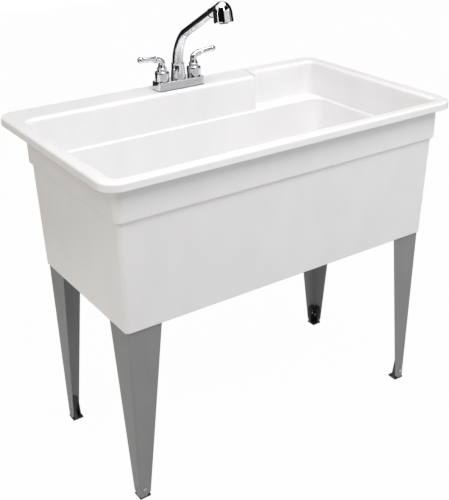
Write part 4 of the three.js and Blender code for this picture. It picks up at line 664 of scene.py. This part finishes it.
# %% The tub as one piece
FAUCET_X, FAUCET_Y, VALVE_X = -3.5, 247.0, 50.8
DECK_BACK, RIB_FOOT, RIB_THICKNESS = 302.5, 850.0, 4
FIRST_RIB, RIB_SPACING, RIB_COUNT = -430, 170, 4
PAD_FOOT, PAD_HALF = 860.0, 86.8
under_deck = (RIM_DEPTH / 2 - BAND_TOP["back"] - 1, DECK_BACK)
plate = RIM_HEIGHT - WALL / 2
ribs = FIRST_RIB + RIB_SPACING * np.arange(RIB_COUNT)
tub_parts = [surface(skin, close_rows=True)]
tub_parts += [block((x, x + RIB_THICKNESS), under_deck, (RIB_FOOT, plate), 0.4) for x in ribs]
tub_parts += [block((FAUCET_X - PAD_HALF, FAUCET_X + PAD_HALF), under_deck, (PAD_FOOT, plate), 0.5)]
tub_parts += [mirrored(leg_socket(signs[1] < 0), signs) for signs in CORNERS.values()]

piece("tub_moulding", tub_parts, white_foam, ["tub"])

# %% [markdown]
# ## Legs
# A leg is one piece of 2 mm sheet with a bend along its corner, and its two flanges get narrower towards
# the floor. The section at each height is the same L, so four outlines make the leg. The screw holes are
# punched, so they are cut, and the sheared edges get a slight rounding where the powder coat gathers.

# %% Legs
HOLE_HEIGHT, HOLE_INSET, HOLE_RADIUS, LEG_EDGE = 27.0, 13.5, 2.95, 0.4


def along(axis):
    """Axes for a turned piece whose own upright axis should point along x or y."""
    return {"x": [[0, 1, 0], [0, 0, 1], [1, 0, 0]], "y": [[0, 0, 1], [1, 0, 0], [0, 1, 0]]}[axis]


def drill(radius, low, high, sides, centre=(0, 0)):
    """A plain upright cutter, which is taken away again once it has made its hole."""
    return lathe([(0, low, 0), (radius, low, 0), (radius, high, 0), (0, high, 0)], sides, centre)


def leg_width(z):
    return LEG_FOOT_WIDTH + (LEG_TOP_WIDTH - LEG_FOOT_WIDTH) * z / SKIRT_BOTTOM


leg_levels = [(LEG_FOOT, leg_width(0) - LEG_CHAMFER), (LEG_FOOT + LEG_CHAMFER, leg_width(LEG_CHAMFER)),
              (SKIRT_BOTTOM, LEG_TOP_WIDTH), (LEG_TOP, LEG_TOP_WIDTH)]
for corner, signs in CORNERS.items():
    front = signs[1] < 0
    body = closed_by_midline([angle_ring(front, z, width) for z, width in leg_levels])
    u, v = fold(front, HOLE_HEIGHT)
    places = {"x": (u, v - HOLE_INSET, HOLE_HEIGHT), "y": (u - HOLE_INSET, v, HOLE_HEIGHT)}
    holes = [[mirrored(placed(drill(HOLE_RADIUS, -12, 12, 24), place, along(axis)), signs)]
             for axis, place in places.items()]
    piece(f"sheet_leg_{corner}", [mirrored(body, signs)], powder_coat, [f"leg_{corner}"],
          holes, LEG_EDGE)

# %% [markdown]
# ## Screws
# The screws that hold the feet are zinc-plated pan heads with a cross recess, upset cold from wire. The head
# is a polar grid: its height is a dome, less a cross whose arms get shallower outwards.

# %% Pan-head screws
SCREW_RADIUS, SCREW_HEAD, SHANK_RADIUS, SCREW_SIDES = 4.6, 2.8, 2.5, 48
DOME_SHARE, DOME_FALL, SIDE_SHARE = 0.94, 0.35, 0.45
RECESS_DEPTH, RECESS_HALF, RECESS_SLOPE = 1.6, 0.75, 0.35
ARM_REACH, ARM_FADE = 0.6, 0.8


def pan_head(length):
    """Height over the head: z = height * (1 - 0.35 (r/R)^2), less 1.6 mm times two ramps, which fall from
    1 to 0 as the smaller of |x| and |y| nears 0.75 mm and as r nears 0.6 R."""
    share = np.linspace(0, 1, 22)[:, None]
    angles = circle_angles(SCREW_SIDES)[None, :]
    r = SCREW_RADIUS * DOME_SHARE * share
    x, y = r * np.cos(angles), r * np.sin(angles)
    arm = np.clip((RECESS_HALF - np.minimum(abs(x), abs(y))) / RECESS_SLOPE, 0, 1)
    reach = np.clip((ARM_REACH * SCREW_RADIUS - np.broadcast_to(r, x.shape)) / ARM_FADE, 0, 1)
    top = np.stack([x, y, SCREW_HEAD * (1 - DOME_FALL * share ** 2) - RECESS_DEPTH * arm * reach], axis=-1)
    edge = rounded_profile([
        (SCREW_RADIUS * DOME_SHARE, SCREW_HEAD * (1 - DOME_FALL), 0),
        (SCREW_RADIUS, SCREW_HEAD * SIDE_SHARE, 0.5), (SCREW_RADIUS, 0, 0)], 3)
    shank = [(SHANK_RADIUS, 0.0), (SHANK_RADIUS, 1 - length), (SHANK_RADIUS * 0.7, -length), (0, -length)]
    return surface(np.concatenate([top, turned(np.vstack([edge[1:], shank]), SCREW_SIDES)]))


for corner, signs in CORNERS.items():
    low, high = (np.array(limit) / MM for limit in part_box(f"foot_screw_{corner}"))
    axis = "y" if signs[1] < 0 else "x"
    lane = "xyz".index(axis)
    sign = signs[lane]
    origin = (low + high) / 2
    origin[lane] = (high if sign > 0 else low)[lane] - sign * SCREW_HEAD
    vertices, faces = pan_head((high - low)[lane] - SCREW_HEAD)
    screw = placed((vertices * [1, 1, sign], faces), origin, along(axis))
    piece(f"pan_head_screw_{corner}", [screw], zinc_plate, [f"foot_screw_{corner}"])

# %% [markdown]
# ## Drain
# The strainer is a pressed stainless cup with a wide lip and a cross of bars. Under the floor a rubber
# ring, a big plastic nut and a slip nut hold it and the tailpiece. All of these are turned profiles.
# The slip nut's grip is the same profile with its radius raised and lowered twelve times round.

# %% Grips on turned pieces
DRAIN = (0.0, float(drain_middle[1]))
NUT_CORNER, GRIP_RIBS, HOLLOW_DEPTH = 37.9, 12, 2.2


def gripped(part, beyond, grip):
    """Moves points that are further than beyond from the drain's axis to the radius grip(radius, angle)."""
    vertices, faces = part
    offset = vertices[:, :2] - DRAIN
    radius = np.maximum(np.linalg.norm(offset, axis=1), 1e-9)
    angle = np.arctan2(offset[:, 1], offset[:, 0])
    scale = np.where(radius > beyond, grip(radius, angle) / radius, 1)
    return np.column_stack([DRAIN + offset * scale[:, None], vertices[:, 2]]), faces


def hexagon(radius, angle):
    """A hexagon's side where the piece reaches past it: R cos 30 / cos(angle within its sixth)."""
    within = np.mod(angle, math.pi / 3) - math.pi / 6
    return np.minimum(radius, NUT_CORNER * math.cos(math.pi / 6) / np.cos(within))


def ribs_round(radius, angle):
    """Hollows between ribs: the radius less depth * (1 - cos(ribs * angle)) / 2."""
    return radius - HOLLOW_DEPTH * (1 - np.cos(GRIP_RIBS * angle)) / 2


# %% [markdown]
# ### The parts of the drain
# Each profile goes round one wall of its piece: radius from the drain's middle, height above the floor the
# sink stands on, and the rounding of that corner. Parts that touch keep a hair of 0.3 mm between them.

# %% Strainer, gasket, nuts and tailpiece
THREAD, PIPE_BORE, GRIP_RADIUS = 25.45, 17.55, 31
CROSS_REACH, CROSS_HALF, CROSS_HEIGHTS = 23, 1.5, (530, 533)
cup = lathe([(22.5, 490.3, 0), (25, 490.3, 0.4), (25, 540.3, 0), (36, 540.3, 0.4), (36, 541.8, 1.0),
             (33, 543.3, 1.5), (24.3, 543.3, 2.2), (22.5, 540.5, 1.5)], 96, DRAIN)
cross = [block((DRAIN[0] - x, DRAIN[0] + x), (DRAIN[1] - y, DRAIN[1] + y), CROSS_HEIGHTS, 0.8)
         for x, y in ((CROSS_REACH, CROSS_HALF), (CROSS_HALF, CROSS_REACH))]
piece("strainer_cup", [cup, *cross], stainless, ["drain_strainer"])

washer = lathe([(THREAD, 531.0, 0), (38, 531.0, 0.8), (38, 533.7, 0.8), (THREAD, 533.7, 0)], 72, DRAIN)
piece("drain_rubber_ring", [washer], rubber, ["drain_gasket"])

big_nut = lathe([(THREAD, 520.7, 0), (34, 520.7, 0.4), (NUT_CORNER, 522.5, 0.5), (NUT_CORNER, 528.7, 0.5),
                 (34, 530.6, 0.4), (THREAD, 530.6, 0)], 96, DRAIN)
piece("drain_lock_nut", [gripped(big_nut, 30, hexagon)], grey_plastic, ["drain_nut"])

pipe = lathe([(PIPE_BORE, 415.3, 0), (19.05, 415.3, 0.4), (19.05, 484.8, 0.8), (24.7, 484.8, 0.3),
              (24.7, 487.3, 0.3), (PIPE_BORE, 487.3, 0)], 72, DRAIN)
piece("chromed_tailpiece", [pipe], chrome, ["tailpiece"])

grip = lathe([(19.5, 481.0, 0), (29, 481.0, 1.2), (GRIP_RADIUS, 484, 1.2), (GRIP_RADIUS, 499, 1.2),
              (29.5, 502.3, 0.8), (THREAD, 502.3, 0.3), (THREAD, 484.5, 0), (19.5, 484.5, 0)], 144, DRAIN)
piece("slip_nut_ribbed", [gripped(grip, 28.5, ribs_round)], grey_plastic, ["slip_nut"])

# %% [markdown]
# ### Stopper
# A rubber plug with a tapered body seals on the strainer's rim, and a turned knob lifts it. Nothing in the
# photograph shows one, so it has the common shape.

# %% Plug and knob
plug = lathe([(0, 535.0, 0), (20.6, 535.0, 1.2), (21.6, 543.6, 0.5), (27, 543.6, 0.6), (27, 545.6, 1.0),
              (25, 547.6, 2.5), (8.5, 550.6, 1.0), (0, 550.6, 0)], 72, DRAIN)
piece("stopper_plug", [plug], rubber, ["stopper"])

knob = lathe([(0, 550.9, 0), (4.9, 550.9, 0.4), (3.5, 555.7, 3.0), (7, 559.9, 1.8), (4.9, 562.9, 1.2),
              (0, 562.9, 0)], 48, DRAIN)
piece("stopper_pull", [knob], chrome, ["stopper_knob"])

# %% [markdown]
# ## Faucet
# The base cover is a thin zinc shell over the valves, so it is drawn as one: inner wall, then outer wall,
# then a rounded top. Bonnets, collar and hubs are turned, and the spout is a brass tube bent after drawing.

# %% Base cover
COVER_FOOT, COVER_TOP = 871.8, 893.8
COVER_LENGTH, COVER_DEPTH, COVER_CORNER, COVER_WALL = 147.0, 48.0, 11.0, 2.4
COVER_DRAFT, COVER_ROUNDING, COVER_EDGE = 0.8, 2.4, 0.3
FAUCET = (FAUCET_X, FAUCET_Y)
VALVES = {"left": -1, "right": 1}


def cover_ring(inset, z):
    """The cover's outline, moved inwards, at a height."""
    corner = max(COVER_CORNER - inset, 1.5)
    return at_height(rounded_rectangle(COVER_LENGTH - 2 * inset, COVER_DEPTH - 2 * inset, corner) + FAUCET, z)


cover_rings = [cover_ring(inset, z) for inset, z in (
    (COVER_WALL + COVER_DRAFT, COVER_TOP - COVER_WALL), (COVER_WALL, COVER_FOOT),
    (COVER_EDGE, COVER_FOOT), (0, COVER_FOOT + COVER_EDGE))]
cover_rings += [cover_ring(COVER_DRAFT + COVER_ROUNDING * inwards, COVER_TOP - COVER_ROUNDING * (1 - upwards))
                for inwards, upwards in quarter(6)]
piece("base_cover", [capped(np.stack(cover_rings))], chrome, ["faucet_cover"])

# %% [markdown]
# ### Base gasket
# A die-cut sheet of rubber keeps water from running under the cover. It shows as a dark line. The shanks
# and the hose pass through three holes in it.

# %% Base gasket
GASKET_FOOT, GASKET_TOP, GASKET_INSET, GASKET_ROUNDING = 870.3, 871.5, 0.2, 0.4
SHANK_HOLE, HOSE_HOLE, CUT_BELOW, CUT_ABOVE = 10.75, 17.0, 865.0, 877.0
gasket_rings = [
    cover_ring(GASKET_INSET + inset, z)
    for inset, z in ((GASKET_ROUNDING, GASKET_FOOT), (0, GASKET_FOOT + GASKET_ROUNDING),
                     (0, GASKET_TOP - GASKET_ROUNDING), (GASKET_ROUNDING, GASKET_TOP))]
gasket_holes = [[drill(hole, CUT_BELOW, CUT_ABOVE, 64, (FAUCET_X + x, FAUCET_Y))]
                for x, hole in ((-VALVE_X, SHANK_HOLE), (0, HOSE_HOLE), (VALVE_X, SHANK_HOLE))]
piece("base_gasket", [capped(np.stack(gasket_rings))], rubber, ["faucet_gasket"], gasket_holes)

# %% [markdown]
# ### Bonnets
# Each valve wears a bell of spun or cast metal. Its side swells a little, its shoulder closes in on a curve
# to a neck, and the lever's stem comes up through a plain throat.

# %% Bonnets
BONNET_FOOT, BONNET_HEIGHT, BONNET_WALL, STEM_THROAT = COVER_TOP + 0.3, 33.0, 2.4, 4.9
BONNET_EDGE, BONNET_SIDE, BONNET_NECK = 18.4, 19.6, 12.4
SHOULDER_FOOT, SHOULDER_TOP = 21.0, 28.5


def bell_shoulder(inset):
    """The shoulder closes in from the bell's side to its neck on a quadratic curve, moved in by inset."""
    side, neck, top = BONNET_SIDE - inset, BONNET_NECK - inset, BONNET_FOOT + SHOULDER_TOP - inset
    return unrounded(bezier([(side, BONNET_FOOT + SHOULDER_FOOT), (side, top), (neck, top)], 12))


bonnet_top = BONNET_FOOT + BONNET_HEIGHT
throat_foot = BONNET_FOOT + SHOULDER_TOP - BONNET_WALL
bell_profile = [
    (BONNET_EDGE - BONNET_WALL, BONNET_FOOT, 0), (BONNET_EDGE, BONNET_FOOT, 0.6),
    (BONNET_SIDE - 0.3, BONNET_FOOT + 12, 20), *bell_shoulder(0), (BONNET_NECK, bonnet_top, 0.8),
    (STEM_THROAT, bonnet_top, 0), (STEM_THROAT, throat_foot, 0), *bell_shoulder(BONNET_WALL)[::-1]]
for side, sign in VALVES.items():
    bell = lathe(bell_profile, 72, (FAUCET_X + sign * VALVE_X, FAUCET_Y), 6)
    piece(f"bonnet_bell_{side}", [bell], chrome, [f"bonnet_{side}"])

# %% [markdown]
# ### Collar
# The spout turns in a tapered sleeve with a raised bead at its top, where a hand would feel for it.

# %% Collar
COLLAR_BORE, COLLAR_FOOT_RADIUS, COLLAR_TOP_RADIUS, COLLAR_BEAD = 15.05, 20.4, 17.2, 17.9
COLLAR_FOOT, COLLAR_HEIGHT, COLLAR_BEAD_HEIGHT = COVER_TOP + 0.3, 44.0, 5.0
collar_top = COLLAR_FOOT + COLLAR_HEIGHT
bead_foot = collar_top - COLLAR_BEAD_HEIGHT
collar = lathe([
    (COLLAR_BORE, COLLAR_FOOT, 0), (COLLAR_FOOT_RADIUS, COLLAR_FOOT, 0.6),
    (COLLAR_FOOT_RADIUS, COLLAR_FOOT + COLLAR_BEAD_HEIGHT / 2, 2), (COLLAR_TOP_RADIUS, bead_foot, 0.4),
    (COLLAR_BEAD, bead_foot + 0.6, 0.5), (COLLAR_BEAD, collar_top, 1.2), (COLLAR_BORE, collar_top, 0),
], 72, FAUCET)
piece("collar_sleeve", [collar], chrome, ["spout_collar"])

# %% [markdown]
# ### Levers
# A lever is a zinc die casting: a flared hub that covers the bell's neck, an arm that rises and turns level
# while it gets thinner, a bead round the arm and a ball that fingers can pull. The left lever is the right
# one turned half round.

# %% Levers
LEVER_FOOT, HUB_HEIGHT, LEVER_RISE, LEVER_REACH = bonnet_top + 0.45, 17.0, 33.5, 63.0
LEVER_SKIRT, SKIRT_EDGE, LEVER_HUB, LEVER_ARM, LEVER_TIP, LEVER_BALL = 13.6, 2.2, 8.9, 8.4, 6.9, 8.8
HUB_HANDLE, ELBOW_REACH, ELBOW_DROP, BEND_SHARE = 7.5, 13.0, 3.5, 0.4
BEAD_RADIUS, BEAD_HALF, BEAD_ROUNDING, BEAD_SHARE = 9.3, 1.5, 1.2, 0.6
LEVER_SAMPLES = 61
bend_foot, tip_height = LEVER_FOOT + HUB_HEIGHT, LEVER_FOOT + LEVER_RISE
lever_curve = bezier([
    (0, 0, bend_foot - 1), (0, 0, bend_foot + HUB_HANDLE),
    (ELBOW_REACH, 0, tip_height - ELBOW_DROP), (LEVER_REACH, 0, tip_height)], LEVER_SAMPLES)
share = np.linspace(0, 1, LEVER_SAMPLES)
thickness = np.interp(share, [0, BEND_SHARE, 1], [LEVER_HUB, LEVER_ARM, LEVER_TIP])
arm_tube = capped(swept(lever_curve, thickness, (0, 1, 0), 48))

flare_foot = LEVER_FOOT + SKIRT_EDGE
flare = bezier([(LEVER_SKIRT, flare_foot), (LEVER_HUB, flare_foot), (LEVER_HUB, bend_foot)], 16)
hub = lathe([(0, LEVER_FOOT, 0), (LEVER_SKIRT, LEVER_FOOT, 0.5), *unrounded(flare), (0, bend_foot, 0)])

half_circle = np.linspace(0, math.pi, 33)
ball_profile = LEVER_BALL * np.stack([np.sin(half_circle), -np.cos(half_circle)], axis=-1)
ball = placed(surface(turned(ball_profile, 56)), (LEVER_REACH, 0, tip_height), along("x"))

bead_row = round(BEAD_SHARE * (LEVER_SAMPLES - 1))
lean = lever_curve[bead_row + 1] - lever_curve[bead_row - 1]
lean /= np.linalg.norm(lean)
disc = lathe([(0, -BEAD_HALF, 0), (BEAD_RADIUS, -BEAD_HALF, BEAD_ROUNDING),
              (BEAD_RADIUS, BEAD_HALF, BEAD_ROUNDING), (0, BEAD_HALF, 0)], 56)
bead = placed(disc, lever_curve[bead_row], [[0, 1, 0], [-lean[2], 0, lean[0]], lean])

for side, sign in VALVES.items():
    axes = [[sign, 0, 0], [0, sign, 0], [0, 0, 1]]
    origin = (FAUCET_X + sign * VALVE_X, FAUCET_Y, 0)
    parts = [placed(part, origin, axes) for part in (hub, arm_tube, bead, ball)]
    piece(f"lever_handle_{side}", parts, chrome, [f"lever_{side}"])

# %% [markdown]
# ### Spout
# The spout is one brass tube. It goes straight up inside the collar, bends forward and gets thinner in the
# bend, and then rises in a straight arm. The tube's inner wall is real, because the spray head's hose
# slides in it.

# %% Spout
NECK, ARM, SPOUT_WALL, SPOUT_SIDES = 14.6, 11.6, 2.3, 72
SPOUT_FOOT, NECK_TOP = COVER_TOP + 0.3, COVER_TOP + 48
BEND_REACH, BEND_RISE, BEND_HANDLE = 50.0, 88.0, 30.0
ARM_SLOPE, ARM_LENGTH = math.radians(29), 144.0
arm_direction = np.array([0.0, -math.cos(ARM_SLOPE), math.sin(ARM_SLOPE)])
bend_end = np.array([0.0, -BEND_REACH, NECK_TOP + BEND_RISE])
arm_end = bend_end + ARM_LENGTH * arm_direction
bend = bezier([(0, 0, NECK_TOP), (0, 0, NECK_TOP + BEND_HANDLE),
               bend_end - BEND_HANDLE * arm_direction, bend_end], 40)
neck_line = np.linspace((0, 0, SPOUT_FOOT), (0, 0, NECK_TOP), 5)[:-1]
arm_line = np.linspace(bend_end, arm_end, 12)[1:]
path = np.vstack([neck_line, bend, arm_line])
radius = np.concatenate([
    np.full(len(neck_line), NECK), np.linspace(NECK, ARM, len(bend)), np.full(len(arm_line), ARM)])
outer_wall, inner_wall = (swept(path, radius - inset, (1, 0, 0), SPOUT_SIDES) for inset in (0, SPOUT_WALL))
tube_wall = np.concatenate([outer_wall, inner_wall[::-1]]) + [*FAUCET, 0]
piece("bent_spout", [surface(tube_wall, close_rows=True)], chrome, ["spout"])

# %% [markdown]
# ## Spray head
# The head is a bell on the end of a short neck: a short cylinder that closes in a quarter ellipse. Its face
# is black plastic with a ring of soft jets round a grey aerator, and a black ring keeps it off the spout's
# end. The hose behind it is braided.

# %% Spray head
HEAD_DISTANCE, HEAD_DROP, HEAD_HEIGHT = 57.0, 42.0, 52.7
HEAD_EDGE, HEAD_RADIUS, DOME_RADIUS, DOME_FOOT = 24.4, 25.0, 24.2, 20.0
HEAD_WALL, CAVITY_SIDE, CAVITY_TOP, WATERWAY = 3.0, 21.0, 32.0, 4.0
HEAD_TILT = math.radians(10)
SPRAY_NECK, NECK_FOOT, SPIGOT, SPIGOT_LENGTH = 11.6, 3.0, 6.7, 22.0
spray_origin = arm_end + [*FAUCET, 0]
spray_axes = [[1, 0, 0], [0, math.sin(ARM_SLOPE), math.cos(ARM_SLOPE)], list(arm_direction)]
tilt_cos, tilt_sin = math.cos(HEAD_TILT), math.sin(HEAD_TILT)
head_axes = np.array([[1, 0, 0], [0, tilt_cos, -tilt_sin], [0, tilt_sin, tilt_cos]])
head_origin = spray_origin + HEAD_DISTANCE * arm_direction - HEAD_DROP * head_axes[2]


def on_arm(part):
    return placed(part, spray_origin, spray_axes)


def on_head(part):
    return placed(part, head_origin, head_axes)


quarter_turn = np.linspace(0, math.pi / 2, 25)
dome = np.column_stack([
    DOME_RADIUS * np.cos(quarter_turn), DOME_FOOT + (HEAD_HEIGHT - DOME_FOOT) * np.sin(quarter_turn)])
cavity = HEAD_EDGE - HEAD_WALL
bell = rounded_profile([
    (0, CAVITY_TOP, 0), (WATERWAY, CAVITY_TOP, 0), (cavity, CAVITY_SIDE, 3), (cavity, 0, 0.3),
    (HEAD_EDGE, 0, 0.5), (HEAD_RADIUS, 2.6, 2), (DOME_RADIUS, DOME_FOOT, 0)], 6)
head_bell = surface(turned(np.vstack([bell, dome[1:]]), 96))
neck = lathe([(0, NECK_FOOT, 0), (SPRAY_NECK, NECK_FOOT, 0.5),
              (SPRAY_NECK, HEAD_DISTANCE - HEAD_RADIUS / 2, 0), (0, HEAD_DISTANCE, 0)], 72)
spigot = lathe([(0, -SPIGOT_LENGTH, 0), (SPIGOT, -SPIGOT_LENGTH, 0.6), (SPIGOT, NECK_FOOT + 1, 0),
                (0, NECK_FOOT + 1, 0)], 32)
shell = [on_head(head_bell), on_arm(neck), on_arm(spigot)]
piece("spray_bell", shell, chrome, ["spray_shell"])

ring = lathe([(7, 0.3, 0), (12.6, 0.3, 0.5), (12.6, 2.7, 0.5), (7, 2.7, 0)], 56)
piece("spray_seat_ring", [on_arm(ring)], black_plastic, ["spray_ring"])

# %% [markdown]
# ### What the water meets
# The face is moulded with twelve little nozzles, so that a thumb can rub the lime off them. The aerator's
# two layers of crossed bars mix air into the stream. The hose is nylon yarn braided over a tube: its radius
# is the greater of two sets of twelve waves, one wound each way.

# %% Spray face, jets, aerator and hose
JETS, JET_CIRCLE = 12, 16.4
face = lathe([(11.7, 1, 0), (12.6, 0.9, 0.2), (18.5, 1.3, 1), (21, 1.6, 0.3), (21, 4, 0), (11.7, 4, 0)], 72)
jet = lathe([(0, 2, 0), (1.5, 2, 0), (1.1, 0.25, 0.3), (0.5, 0.25, 0), (0.45, 0.9, 0), (0, 0.9, 0)],
            12, steps=2)
jets = [placed(jet, (JET_CIRCLE * math.cos(angle), JET_CIRCLE * math.sin(angle), 0), np.eye(3))
        for angle in circle_angles(JETS)]
face_parts = [on_head(part) for part in (face, *jets)]
piece("spray_face_plate", face_parts, black_plastic, ["spray_face"])

BARS, BAR_REACH, BAR_HALF = (-6, -3, 0, 3, 6), 8.6, 0.35
reach = (-BAR_REACH, BAR_REACH)
outlet = lathe([(8.4, -4, 0), (10.6, -4, 0.6), (11.3, -2.8, 0.6), (11.3, 3.5, 0), (8.4, 3.5, 0)], 48)
bars = [block(reach, (y - BAR_HALF, y + BAR_HALF), (-1.2, -0.4), 0.2) for y in BARS]
bars += [block((x - BAR_HALF, x + BAR_HALF), reach, (-1.3, -0.5), 0.2) for x in BARS]
aerator = [on_head(part) for part in (outlet, *bars)]
piece("aerator_insert", aerator, grey_plastic, ["aerator"])

HOSE_TOP, HOSE_LENGTH, HOSE_RADIUS, HOSE_BORE = -22.3, 108.0, 5.65, 3.4
YARNS, YARN_RISE, YARN_PITCH = 12, 0.15, 132.0  # one yarn goes once round the hose in this length
rows = np.linspace(HOSE_TOP - HOSE_LENGTH, HOSE_TOP, 160)[:, None]
around = circle_angles(48)[None, :]
wound = 2 * math.pi * rows / YARN_PITCH
weave = np.maximum(np.cos(YARNS * (around + wound)), np.cos(YARNS * (around - wound)))
yarn = HOSE_RADIUS + YARN_RISE * weave
along_hose = np.broadcast_to(rows, yarn.shape)
outer_hose = np.stack([yarn * np.cos(around), yarn * np.sin(around), along_hose], axis=-1)
bore_share = HOSE_BORE / (HOSE_RADIUS + YARN_RISE)
inner_hose = outer_hose[::-1] * [bore_share, bore_share, 1]
hose = surface(np.concatenate([outer_hose, inner_hose]), close_rows=True)
piece("braided_hose", [on_arm(hose)], braid, ["hose_tail"])

# %% [markdown]
# ## Pieces that keep their CAD shape
# Feet, nuts, seals, washers and the parts inside the valves already have the right shape.
# They stay as they are and get the same finishes as the pieces round them.

# %% Finishes on the kept CAD pieces
KEPT = {
    "foot_": black_plastic, "foot_nut_": zinc_plate, "leg_screw_": zinc_plate, "slip_washer": rubber,
    "valve_body": brass, "spout_seal": rubber, "cartridge_": brass,
    "mounting_washer_": grey_plastic, "mounting_nut_": black_plastic, "stem_": brass,
    "lever_screw_": zinc_plate, "dock_bush": black_plastic,
}
kept = {name: made for name, made in frame["nodes"].items() if not made.hide_render}
for name, made in kept.items():
    starts = [start for start in KEPT if name.startswith(start)]
    made.data.materials.clear()
    made.data.materials.append(KEPT[max(starts, key=len)])
print("kept CAD pieces:", len(kept))

# %% [markdown]
# ## Floor, background and light
# The photograph is a cut-out on white. The background is white only for rays that reach the camera,
# straight, by a reflection or through something clear, so it doesn't light the matt tub. The floor does the
# same for most of its brightness, and keeps the rest to show a soft shadow.

# %% World and floor
AMBIENT, FLOOR_WHITE, FLOOR_HALF = 0.26, 0.98, 6000.0


def seen_rays(tree):
    """1 for rays from the camera, straight, by a reflection or through something clear, and 0 for others."""
    rays = node(tree, "ShaderNodeLightPath").outputs
    seen = rays["Is Camera Ray"]
    for kind in ("Is Glossy Ray", "Is Transmission Ray"):
        seen = node(tree, "ShaderNodeMath", {"operation": "MAXIMUM"}, {0: seen, 1: rays[kind]}).outputs[0]
    return seen


world = bpy.data.worlds.new("studio")
bpy.context.scene.world = world
world.use_nodes = True
tree = world.node_tree
background = tree.nodes["Background"]
background.inputs["Color"].default_value = (1, 1, 1, 1)
level = node(tree, "ShaderNodeMapRange", {"To Min": AMBIENT, "To Max": 1.0}, {"Value": seen_rays(tree)})
tree.links.new(level.outputs["Result"], background.inputs["Strength"])

floor_corners = FLOOR_HALF * np.array([[-1, -1, 0], [1, -1, 0], [1, 1, 0], [-1, 1, 0]])
floor = new_object("floor", new_mesh("floor", [(floor_corners, np.array([[0, 1, 2, 3]]))]))
floor_look, tree = new_material("pale_floor")
shader = tree.nodes["Principled BSDF"]
shader.inputs["Base Color"].default_value = linear("#C9C9C8")
shader.inputs["Roughness"].default_value = 0.8
glow = node(tree, "ShaderNodeMapRange", {"To Max": FLOOR_WHITE}, {"Value": seen_rays(tree)}).outputs["Result"]
white = node(tree, "ShaderNodeEmission", {"Strength": 1.0}).outputs[0]
mixed = node(tree, "ShaderNodeMixShader", None, {0: glow, 1: shader.outputs[0], 2: white})
tree.links.new(mixed.outputs[0], tree.nodes["Material Output"].inputs["Surface"])
floor.data.materials.append(floor_look)

# %% [markdown]
# ### Lamps
# Five wide soft boxes: one overhead, two high up in front and on the left, and two at the sides. More light
# comes from the front, so the long face is lighter than the left end. The palest wall stays under white.

# %% Lamps
SINK_MIDDLE = Vector((0, 0, 0.6))


def softbox(name, place, size, watts, colour="#FFFFFF"):
    """A rectangular area lamp at a place in metres, turned to face the sink."""
    lamp = bpy.data.lights.new(name, "AREA")
    lamp.shape = "RECTANGLE"
    lamp.size, lamp.size_y = size
    lamp.energy = watts
    lamp.color = linear(colour)[:3]
    made = new_object(name, lamp)
    made.location = place
    made.rotation_euler = (SINK_MIDDLE - Vector(place)).to_track_quat("-Z", "Y").to_euler()


softbox("overhead", (0.3, -0.3, 3.4), (2.4, 1.8), 24)
softbox("above_front", (0.0, -2.0, 3.2), (2.0, 1.4), 45, "#FFFBFA")
softbox("above_left", (-2.0, -0.6, 3.2), (1.6, 1.6), 16)
softbox("front_right", (2.4, -2.6, 1.8), (1.6, 1.6), 21)
softbox("left", (-3.2, 0.0, 1.6), (1.6, 1.6), 21, "#FFF6E8")
print("lamps:", len(bpy.data.lights))

# %% [markdown]
# ### Cards round the faucet
# A mirror finish needs something dark to reflect, or it looks like white plastic. Photographers stand black
# and pale card round the piece, just out of the picture, with gaps for the bright edges. These curved sheets
# stand in for them, but each glows with a fixed shade that no lamp gives it: painted reflections for the
# chrome. Only reflections see them, so they take no light away from the white tub.

# %% Cards round the faucet
CARD_DISTANCE, CARD_SHEET = 1100.0, 4.0
FAUCET_MIDDLE = (-3.5, 247.0, 1000.0)
BLACK_CARD, DARK_CARD, GREY_CARD, WHITE_CARD = "#0C0C0D", "#29292A", "#8A8A8B", "#DEDEDE"
CARDS = {  # bearings and heights in degrees, shade
    "card_behind": ((-30, 20), (-41, 56), BLACK_CARD),
    "card_left": ((-92, -30), (-41, 26), DARK_CARD),
    "card_front_left": ((-166, -96), (-14, 50), BLACK_CARD),
    "card_right_behind": ((21, 61), (-30, 56), WHITE_CARD),
    "card_right": ((62, 124), (-14, 56), BLACK_CARD),
    "card_front_right": ((126, 146), (-14, 22), GREY_CARD),
    "card_front": ((147, 193), (-14, 29), WHITE_CARD),
    "card_front_high": ((126, 186), (30, 56), BLACK_CARD),
}


def card_sheet(bearings, heights):
    """Part of an upright cylinder round the faucet, one sheet thick. A point is at bearing b from straight
    behind and at h above level: middle + (distance * sin b, distance * cos b, distance * tan h)."""
    bearing = np.radians(np.linspace(*bearings, 25))[:, None]
    up = np.tan(np.radians(np.linspace(*heights, 9)))
    rise = np.concatenate([up, up[::-1]])[None, :]
    distance = CARD_DISTANCE + np.repeat([0.0, CARD_SHEET], len(up))[None, :]
    x = FAUCET_MIDDLE[0] + distance * np.sin(bearing)
    y = FAUCET_MIDDLE[1] + distance * np.cos(bearing)
    z = np.broadcast_to(FAUCET_MIDDLE[2] + CARD_DISTANCE * rise, x.shape)
    return capped(np.stack([x, y, z], axis=-1))


for name, (bearings, heights, shade) in CARDS.items():
    card = new_object(name, new_mesh(name, [card_sheet(bearings, heights)]))
    look, tree = new_material(name)
    # The card glows with its shade, which no lamp gives it: a painted reflection for the chrome.
    painted_reflection_glow = node(tree, "ShaderNodeEmission", {"Color": linear(shade)})
    tree.links.new(painted_reflection_glow.outputs[0], tree.nodes["Material Output"].inputs["Surface"])
    card.data.materials.append(look)
    card.visible_camera = card.visible_diffuse = card.visible_shadow = card.visible_transmission = False
print("cards:", ", ".join(CARDS))

# %% [markdown]
# ## Colour
# Colours are shown as written, with no film curve.

bpy.context.scene.view_settings.view_transform = "Standard"
